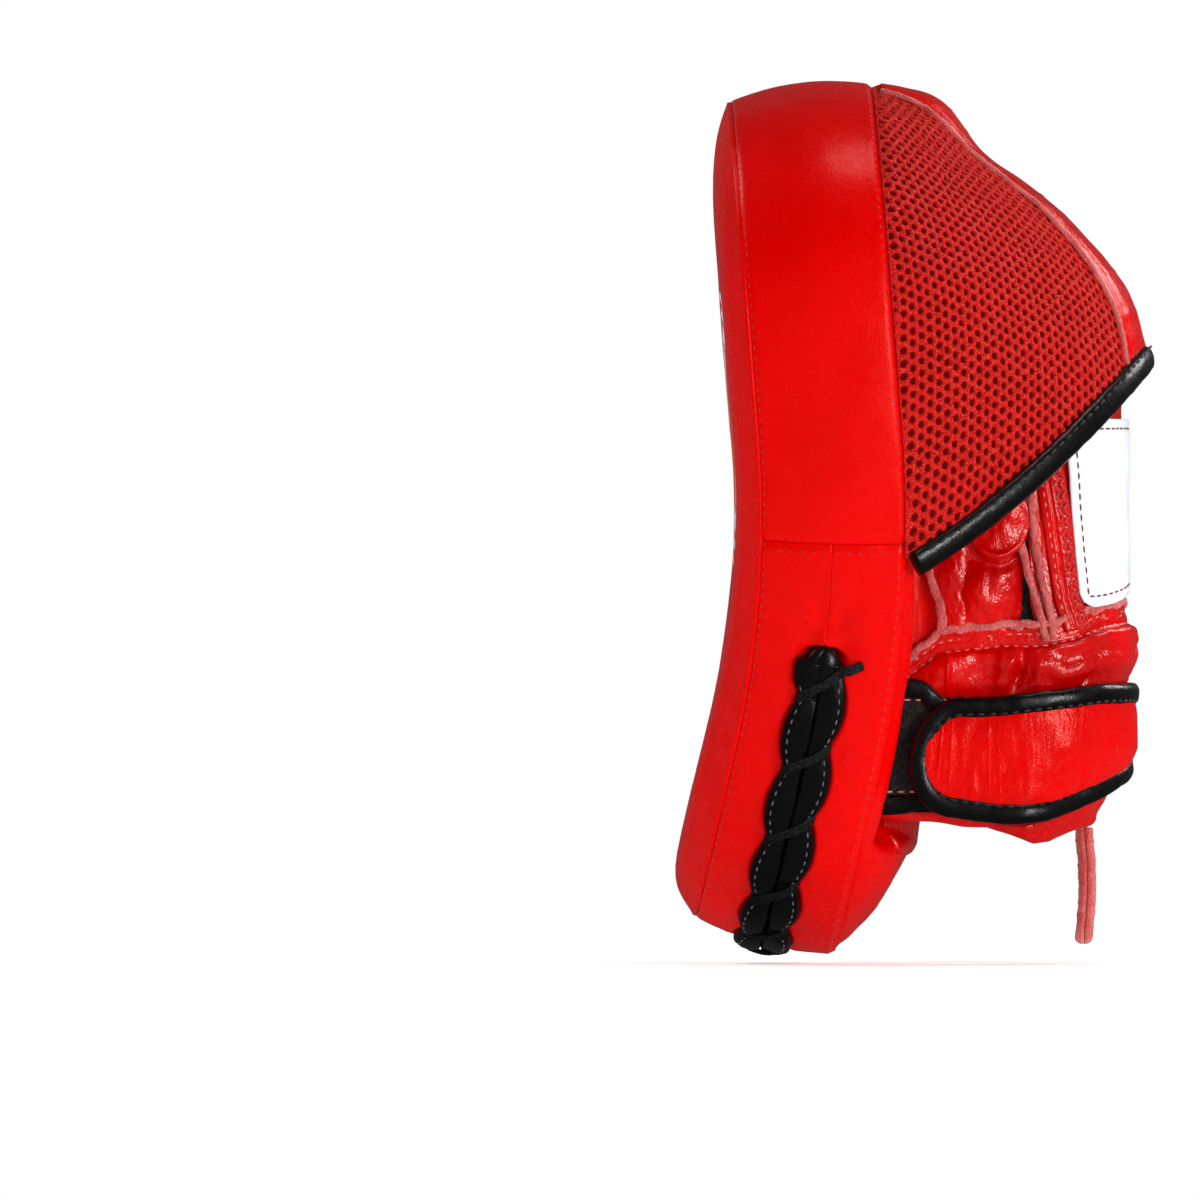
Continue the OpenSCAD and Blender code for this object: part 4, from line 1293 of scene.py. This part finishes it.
def label():
    """The patch on the back of the hand, left blank."""
    z0, z1, q0, q1, r = 64.5, 120.5, 1.27, 4.73, 4.5
    arc = math.radians(90) * 31.5
    k = spans((0, 0.09, 16), (0.09, 0.91, 40), (0.91, 1, 16))
    z = z0 + (z1 - z0) * k
    e = np.minimum(z - z0, z1 - z)
    inset = (r - np.sqrt(np.clip(r**2 - np.clip(r - e, 0, r) ** 2, 0, None))) / arc
    f = spans((0, 0.03, 8), (0.03, 0.97, 150), (0.97, 1, 8))
    q = (q0 + inset)[:, None] + (q1 - q0 - 2 * inset)[:, None] * f[None]
    zz = z[:, None] + 0 * q

    def settle(a, b):
        """Leans the side edges and lifts the middle of the bottom edge."""
        side = np.where(a > 3, -1.0, 1.0)
        shift = 0.6 * lean(b) * smooth(2.2, 1.4, np.minimum(a, 6 - a))
        rise = 4.0 * smooth(1.35, 2.0, np.minimum(a, 6 - a)) * np.clip((z1 - b) / (z1 - z0), 0, 1)
        return a + side * shift, b + rise

    ez = np.minimum(zz - z0, z1 - zz)
    eq = np.minimum(q - q0, q1 - q) * arc
    ed = np.minimum(ez, eq)
    lift = 1.9 + 0.35 * smooth(0, 1.5, ed) - 0.45 * bump(ed, 3.0, 0.8) + 0.35 * fbm(q * 5, zz / 12, 66)
    qs, zs = settle(q, zz)
    p = glove(qs, zs, lift)
    o = sheet("label_patch_leather", p, 1.1, arr(0, 0, 90))
    dress(o, mat_white, nodes=["label_patch"])
    # border stitching
    h = 3.0
    dq = h / arc
    side_z = np.linspace(z0 + h, z1 - h, 50)
    span = np.linspace(q0 + dq, q1 - dq, 160)
    rows = []
    across = [(span, 0 * span + z0 + h), (span, 0 * span + z1 - h)]
    upright = [(0 * side_z + q0 + dq, side_z), (0 * side_z + q1 - dq, side_z)]
    for qq, zz in across + upright:
        a, b = settle(qq, zz)
        pp = glove(a, b, 2.0 + 0.35 * fbm(qq * 5, zz / 12, 66))
        rows.append((pp, unit(glove(a, b, 5.0) - glove(a, b, 0.0))))
    ob = stitches("label_stitches", rows, length=2.2, radius=0.26, pitch=2.9, sink=0.0)
    dress(ob, mat_thread_dark)


label()


def thumb():
    """The thumb stall: a leather finger that bulges out over the cuff, with its end cap folded in."""
    z = np.concatenate([np.linspace(50, 96, 110)[:-1], 96 + 13.5 * np.sin(np.linspace(0, math.pi / 2, 30))])
    a = np.linspace(0, 2 * math.pi, 150, endpoint=False)
    zz, aa = z[:, None] + 0 * a[None], a[None] + 0 * z[:, None]
    dome = np.sqrt(np.clip(1 - (np.clip(zz - 96, 0, 13.5) / 13.55) ** 2, 0.0004, 1))
    lean = np.tan(math.radians(5)) * (zz - 62)
    rx = (13.6 + 0.9 * bump(zz, 66, 12)) * dome
    ry = (14.3 + 1.2 * bump(zz, 62, 9)) * dome
    cx = 33.5 - 1.5 * smooth(66, 50, zz)
    x, y = cx + rx * np.cos(aa), lean + ry * np.sin(aa)
    p = np.stack([x, y, zz], -1)
    n = grid_normals(p, wrap_v=True)
    if np.sum(n * (p - arr(33, 0, 80))) < 0:
        n = -n
    face_x = smooth(0.15, 0.6, np.cos(aa))
    # the U-shaped fold of the end cap and the fuller part under it
    uy, uz = (y - 3.2) / 8.8, (zz - 91.5) / 13.0
    r = np.sqrt(uy**2 + uz**2)
    below = smooth(100, 92, zz)
    cap = 1.9 * smooth(1.12, 0.9, r) - 1.1 * bump(r, 1.17, 0.09) * below
    cap = cap + 0.9 * bump(r, 0.93, 0.1) * below
    fuller = 1.6 * np.exp(-(((y - 1) / 9) ** 2) - (((zz - 71) / 6.5) ** 2))
    small = 0.8 * ridges((y + 0.5 * zz) / 7, zz / 26, 101) * smooth(78, 66, zz)
    small = small + 0.5 * fbm(y / 6, zz / 9, 102)
    d = face_x * (cap + fuller + small) + 0.3 * fbm(aa * 2, zz / 10, 103)
    p = p + n * d[..., None]
    o = sheet("thumb_stall_leather", p, 1.2, arr(33.5, 0, 80), wrap_v=True)
    dress(o, mat_glove, nodes=["thumb_stall"])


thumb()


def raw_strip(name, path, out, half, jitter=0.4, seed=1, thick=0.9):
    p, (n,) = resample(path, [out], 0.8)
    o = sweep(name, p, unit(n), half, thick, sides=10, power=3.2, jitter=jitter, seed=seed)
    dress(o, mat_suede)
    return o


def raw_edges():
    """Cut edges of the thumb piece: in front of the stall, and both lips of the slit behind it."""
    k = np.linspace(0, 1, 60)
    z = 92 - 36 * k
    y = -17.6 + 4.6 * smooth(0.25, 0.95, k) + 0.45 * fbm(k * 9, 0 * k, 111)
    path = np.stack([42.6 + 3.6 * np.sin(math.pi * k / 2), y, z], 1)
    raw_strip("thumb_raw_edge_front", path, np.repeat(unit(arr(1, -0.25, 0))[None], 60, 0), 1.3, seed=2)
    # leather between that edge and the stall
    n = 40
    f = np.linspace(0, 1, n)[None]
    zz = z[:, None] + 0 * f
    x0, y0 = path[:, 0:1], path[:, 1:2]
    lean = np.tan(math.radians(5)) * (zz - 62)
    x1, y1 = 46.5 + 0 * f, lean - 3
    bow = np.sin(math.pi * f / 2)
    x = x0 + (x1 - x0) * bow + 0.9 * np.sin(math.pi * f) + 0.5 * fbm(f * 4, zz / 7, 113)
    yy = y0 + (y1 - y0) * f
    p = np.stack([x, yy, zz], -1)
    o = sheet("thumb_front_leather", p, 1.0, arr(20, 0, 70))
    dress(o, mat_glove)
    for j, (dy0, dy1, sd) in enumerate(((-2.7, -1.6, 3), (2.6, 1.5, 4))):
        k = np.linspace(0, 1, 70)
        zz = 108 - 54 * k
        yc = np.interp(zz, [54, 60.5, 72, 81.6, 100.6, 108], [19.6, 18.5, 15.7, 13.6, 11.2, 10.4])
        gap_ = np.interp(k, [0, 0.12, 0.6, 0.9, 1], [0.6, 1, 0.95, 0.62, 0.5])
        y = yc + (dy0 if j == 0 else dy1) * gap_
        x = glove_surface_x(y, zz) + 0.9
        path = np.stack([x, y, zz], 1)
        out = unit(np.stack([0 * y + 1.0, 0.02 * y, 0 * y], 1))
        raw_strip(f"thumb_slit_edge_{j}", path, out, 1.0, seed=sd, thick=1.3)


def glove_surface_x(y, z):
    """x of the glove's thumb side at a given y."""
    h, b, r = glove_half(z), glove_back(z), CUFF_CORNER
    yc = b - r
    return np.where(y <= yc, h, h - r + np.sqrt(np.clip(r**2 - (np.clip(y - yc, 0, r)) ** 2, 0, None)))


raw_edges()


def pocket_side():
    """The leather between the pad's back and the thumb, on both sides of the pocket."""
    for sign, name in ((1, "thumb_side"), (-1, "outer_side")):
        k = np.linspace(0, 1, 60)[:, None]
        f = np.linspace(0, 1, 30)[None]
        z = 40 + (122 - 40) * k + 0 * f
        y0 = pad_y(z, WALL + 1.3)
        y = y0 + ((-14.0 if sign > 0 else 13) - y0) * f
        x = 44.2 - 1.6 * np.sin(math.pi * f * 0.8) - 2.5 * f * smooth(60, 100, z)
        x = x + 0.35 * fbm(f * 2, z / 15, 161)
        o = sheet(f"pocket_side_{name}_leather", np.stack([sign * x, y, z], -1), 1.0, arr(0, 0, 80))
        dress(o, mat_red)


pocket_side()


def palm():
    """The leather that the palm lies against."""
    v = np.linspace(-88, 40, 120)[:, None]
    x = np.linspace(-35, 35, 60)[None]
    e = np.minimum(np.minimum(35 - np.abs(x), v + 88), 40 - v)
    w = back_profile(0 * v, 99 + 0 * v, x + 0 * v, v + 0 * x) + 0.2 + 1.0 * smooth(0, 1.5, e)
    o = sheet("palm_panel_leather", pad(x + 0 * v, v + 0 * x, w), 0.9, arr(0, -60, 60))
    dress(o, mat_glove, nodes=["palm_panel"])


palm()


def slit_cloth():
    """The black cloth that shows in the slit behind the thumb, and closes the pocket's side."""
    y = np.linspace(6, 24, 30)[:, None]
    z = np.linspace(48, 118, 60)[None]
    x = glove_surface_x(y + 0 * z, z + 0 * y) - 1.6 + 0.3 * fbm(y / 5, z / 9, 121)
    p = np.stack([x, y + 0 * z, z + 0 * y], -1)
    o = sheet("thumb_gap_cloth", p, 0.7, arr(0, 0, 80))
    dress(o, mat_cloth, nodes=["thumb_gap_liner"])


slit_cloth()


# ---- the wrist strap -----------------------------------------------------
def strap_rise(q):
    """The lower edge climbs where the strap passes round the back of the wrist."""
    return 13.5 * smooth(1.0, 2.1, np.minimum(q, 6 - q))


def strap_half(q, inset=0.0):
    t = np.clip((q - 0.16) / 0.40, 0, 1)
    full = STRAP_H * 0.43 + (STRAP_H * 0.5 - STRAP_H * 0.43) * np.clip(q - 0.56, 0, 1)
    return full * np.sqrt(np.clip(1 - (1 - t) ** 2, 0, 1)) - inset - 0.5 * strap_rise(q)


def strap_mid(q):
    return np.interp(q, [0, 0.2, 0.9, 1.5, 6], [20.5, 20.3, 18.6, 20.5, 20.5]) + 0.5 * strap_rise(q)


def on_strap(q, z, d):
    p = glove(q, z, d, size_at=20.0)
    curl = np.interp(z, [-4, 0.4, 5.5, 10.9, 16, 22], [14, 9.6, 6.5, 4, 1.6, 0]) * smooth(10, 34, p[..., 1])
    return glove(q, z, d - curl, size_at=20.0)


def strap_puff(q, z):
    return 0.5 * fbm(q * 5, z / 16, 131) + 0.4 * ridges(q * 13 + z / 60, z / 46, 132) * smooth(1.1, 0.5, q)


def strap_leather(name, q, nodes, bend):
    k = np.linspace(-1, 1, 41)[None]
    h = np.maximum(strap_half(q, 4.4), 0.35)[:, None]
    m = strap_mid(q)[:, None]
    z = m + k * h
    qq = q[:, None] + 0 * z
    e = (1 - np.abs(k)) * h
    d = STRAP_D + 2.0 + 0.45 * smooth(0, 6, e) + strap_puff(qq, z) * smooth(0, 4, e)
    p = on_strap(qq, z, d)
    inner = on_strap(qq, z, STRAP_D + 0.1 + 0 * z)
    o = sheet(name, p, 1.9, arr(0, 0, 20), inner=inner)
    o.data.materials.append(mat_strap)
    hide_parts(*nodes)
    bend(o)
    return o


def bend_strap(o):
    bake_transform(o)


def over_strap(q, z):
    """Points and outward directions on the strap's outer side."""
    outward = unit(on_strap(q, z, 9.0 + 0 * q) - on_strap(q, z, 3.0 + 0 * q))
    return on_strap(q, z, STRAP_D + 1.0 + 0 * q), outward


def strap():
    """Flap and root are one piece of leather with one binding round it."""
    q = np.concatenate([0.205 + 0.36 * (np.linspace(0, 1, 50)[:-1]) ** 1.6, np.linspace(0.565, 2, 150)[:-1],
                        np.linspace(2, 4, 70)[:-1], np.linspace(4, 5.8, 90)])
    strap_leather("strap_leather", q, ["strap_flap", "strap_root"], bend_strap)
    w = 3.1

    def edge(q, sign):
        z = strap_mid(q) + sign * (strap_half(q) - w)
        return over_strap(q, z)

    q_top = spans((5.58, 4, 80), (4, 2, 60), (2, 0.56, 130))
    top, n_top = edge(q_top, 1)
    th = np.linspace(0, math.pi / 2, 12)[:-1]
    zr = float(strap_half(np.array([5.6]))[0]) - w
    q_r, z_r = 5.58 + 0.15 * np.cos(th), zr - 7 * (1 - np.sin(th))
    end_q = np.concatenate([q_r[::-1], np.full(20, 5.73), q_r])
    end_z = np.concatenate([-z_r[::-1], np.linspace(-(zr - 7), zr - 7, 22)[1:-1], z_r]) + strap_mid(5.7)
    end, n_end = over_strap(end_q, end_z)
    low_, n_low = edge(q_top[::-1], -1)
    full = float(strap_half(np.array([0.56]))[0])
    th = np.linspace(math.pi / 2, -math.pi / 2, 70)[1:-1]
    q_c = 0.56 - (0.40 - w / 46.0) * np.cos(th)
    z_c = strap_mid(q_c) + (full - w) * np.sin(th)
    tip, n_tip = over_strap(q_c, z_c)
    path, nrm = np.concatenate([end, top, tip, low_]), np.concatenate([n_end, n_top, n_tip, n_low])
    path, (nrm,) = resample(np.concatenate([path, path[:1]]), [np.concatenate([nrm, nrm[:1]])], 1.3)
    path, nrm = path[:-1], unit(nrm[:-1])
    o = sweep("strap_binding_leather", path, nrm, 3.15, 2.25, sides=20, power=2.3, closed=True,
              jitter=0.14, seed=17)
    o.data.materials.append(mat_black)
    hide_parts("strap_flap_binding", "strap_root_binding")
    bend_strap(o)
    side = frames(path, nrm)[1]
    mid = int(np.argmax(path[:, 0] - path[:, 1]))
    inward = side * np.sign(np.dot(side[mid], arr(46, 10, 20) - path[mid]))
    rows = [(path + 1.75 * nrm + inward * 2.0, nrm)]
    o = stitches("strap_stitches", rows, length=2.4, radius=0.34, pitch=3.4, sink=0.0)
    o.data.materials.append(mat_thread_black)
    bend_strap(o)


strap()


def loop_patch():
    q = np.linspace(0.0, 0.9, 60)[:, None]
    z = 3 + (39 - 6.5 * smooth(0.1, 0.42, q)) * np.linspace(0, 1, 50)[None]
    p = glove(q + 0 * z, z + 0 * q, 1.5 + 0.15 * fbm(q * 8, z / 9, 141))
    o = sheet("loop_base_leather", p, 1.0, arr(0, 0, 20))
    dress(o, mat_black, nodes=["loop_base"])
    q = np.linspace(0.0, 0.86, 110)[:, None]
    z = np.linspace(8.4, 37.4, 90)[None]
    loops = 0.28 * noise(q * 90, z / 0.55, 142)
    p = glove(q + 0 * z, z + 0 * q, 2.5 + loops + 0.2 * noise(q * 45, z / 1.1, 143))
    o = sheet("loop_tape_cloth", p, 1.0, arr(0, 0, 20))
    dress(o, mat_loop, nodes=["loop_tape"])
    rows = []
    for zc, nm in ((40.0, "upper"), (5.2, "lower")):
        qq = np.linspace(0.0, 0.92, 70)
        zq = zc - (6.5 if zc > 20 else -2.5) * smooth(0.1, 0.42, qq)
        pth = glove(qq, zq, 2.0 + 0 * qq)
        nn = unit(glove(qq, zq, 8.0) - glove(qq, zq, 1.0))
        o = sweep(f"loop_base_binding_{nm}", pth, nn, 2.9, 1.5, sides=18, power=2.5, jitter=0.15, seed=21)
        dress(o, mat_black)
    for zc in (36.6, 9.2):
        qq = np.linspace(0.0, 0.84, 70)
        zs = zc + 0 * qq
        rows.append((glove(qq, zs, 2.75 + 0 * qq), unit(glove(qq, zs, 8.0) - glove(qq, zs, 1.0))))
    ob = stitches("loop_tape_stitches", rows, length=2.3, radius=0.28, pitch=3.3, sink=0.0)
    dress(ob, mat_thread_pink)


loop_patch()


# ---- the pull tab --------------------------------------------------------
def pull_tab():
    """A strip of raw leather folded over and stitched to itself."""
    hang = lambda o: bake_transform(o)
    y0, top, length, half = 30.3, -2.2, 35.3, 11.0
    k = np.linspace(0, 1, 70)[:, None]
    f = np.linspace(-1, 1, 41)[None]
    layers = []
    for j, sgn in enumerate((-1, 1)):
        z = top + 0.3 - (length - 0.4) * k
        e = np.clip((length - 0.4) - (top + 0.3 - z), 0, half)
        wdt = np.where(e < half, np.sqrt(np.clip(half**2 - (half - e) ** 2, 0.04, None)), half)
        x = wdt * f * (0.93 + 0.05 * fbm(k * 7, 0 * k, 151))
        wave = (0.4 * fbm(k * 4, f * 1.5, 152) + 0.9 * np.sin(3.6 * k)) * smooth(0, 0.3, k)
        round_ = np.sqrt(np.clip(e / 2.4, 0.02, 1) * (2 - np.clip(e / 2.4, 0.02, 1)))
        side_ = smooth(1.0, 0.82, np.abs(f)) * 0.5 + 0.5
        yo = y0 + sgn * (0.3 + 2.2 * round_ * side_) + wave + 0.12 * fbm(k * 30, f * 9, 153)
        yi = y0 + sgn * 0.12 + wave
        outer = np.stack([x, yo + 0 * f, z + 0 * f], -1)
        inner = np.stack([x, yi + 0 * f, z + 0 * f], -1)
        o = sheet(f"pull_tab_leather_{j}", outer, 1.8, arr(0, y0, -20), inner=inner)
        dress(o, mat_suede_red, nodes=["pull_tab"] if j == 0 else (), ride=False)
        hang(o)
        layers.append(outer)
    rows = []
    for j, sgn in enumerate((-1, 1)):
        p = layers[j]
        for col in (5, 35):
            rows.append((p[4:-14, col], np.repeat(arr(0, sgn, 0)[None], 52, 0)))
    ob = stitches("pull_tab_stitches", rows, length=2.2, radius=0.27, pitch=3.2)
    dress(ob, mat_thread_dark, ride=False)
    hang(ob)


pull_tab()

# ---- floor, light, camera ------------------------------------------------
low_z = float(min(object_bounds()[0][2], cad_box[0][2])) * 1000 - 0.4
SIDES = 96
ring = np.linspace(0, 2 * math.pi, SIDES + 1)[:-1]
disc = [np.stack([r * np.cos(ring), r * np.sin(ring), 0 * ring + low_z], 1) for r in (1200.0, 600.0, 200.0)]
quads = [[SIDES * k + i, SIDES * k + (i + 1) % SIDES, SIDES * (k + 1) + (i + 1) % SIDES, SIDES * (k + 1) + i]
         for k in (0, 1) for i in range(SIDES)]
floor = new_object("studio_floor", np.concatenate(disc), quads + [list(range(2 * SIDES, 3 * SIDES))])
fm = Nodes("studio_floor")
fm.link(fm.mix(fm.noise(3.0, 2.0), lin(246, 246, 247), lin(250, 250, 250)), fm.bsdf.inputs["Base Color"])
fm.set(rough=1.0, spec=0.0)
fm.bsdf.inputs["Emission Color"].default_value = (1, 1, 1, 1)
fm.bsdf.inputs["Emission Strength"].default_value = 0.45
floor.data.materials.append(fm.m)
floor.visible_glossy = False

world = bpy.data.worlds.new("studio")
bpy.context.scene.world = world
world.use_nodes = True
wt = world.node_tree
bg = wt.nodes["Background"]
bg.inputs[0].default_value = (1, 1, 1, 1)
rays = wt.nodes.new("ShaderNodeLightPath")
level = wt.nodes.new("ShaderNodeMapRange")
level.inputs["To Min"].default_value = 0.07
level.inputs["To Max"].default_value = 1.0
wt.links.new(rays.outputs["Is Camera Ray"], level.inputs["Value"])
wt.links.new(level.outputs["Result"], bg.inputs["Strength"])


def area(name, loc, target, size, power, size_y=None):
    data = bpy.data.lights.new(name, "AREA")
    data.shape = "RECTANGLE"
    data.size, data.size_y, data.energy = size, size_y or size, power
    o = bpy.data.objects.new(name, data)
    bpy.context.scene.collection.objects.link(o)
    o.location = loc
    o.rotation_euler = (Vector(target) - Vector(loc)).to_track_quat("-Z", "Y").to_euler()
    o.visible_camera = False
    return o


aim = (0, -0.02, 0.09)
area("key", (1.15, 0.95, 0.3), aim, 0.4, 12.0)
area("streak", (1.48, 0.66, 0.3), aim, 0.10, 2.6, 1.5)
area("front", (-0.2, -1.3, 1.3), aim, 0.7, 10)
area("top", (0.1, 0.2, 1.4), aim, 0.4, 3)
area("rear", (-0.9, 1.3, 1.0), aim, 0.6, 11)
# wide soft fills that leave no reflection
for name, loc, power in (
    ("fill_thumb_side", (1.6, -0.3, 0.3), 4.5),
    ("fill_outer_side", (-1.6, -0.4, 0.5), 9.0),
    ("fill_rear", (0.2, 1.7, 0.5), 6.0),
    ("fill_front", (-0.4, -1.7, 0.4), 4.5),
):
    area(name, loc, aim, 1.1, power).visible_glossy = False

cam_data = bpy.data.cameras.new("camera")
cam_data.lens = 800
cam_data.sensor_width = 36
cam_data.clip_end = 60
camera = bpy.data.objects.new("camera", cam_data)
bpy.context.scene.collection.objects.link(camera)
camera.location = (8.0, -0.115, 0.0664)
camera.rotation_euler = (math.radians(90), 0, math.radians(90))
bpy.context.scene.camera = camera
bpy.context.scene.view_settings.view_transform = "Standard"

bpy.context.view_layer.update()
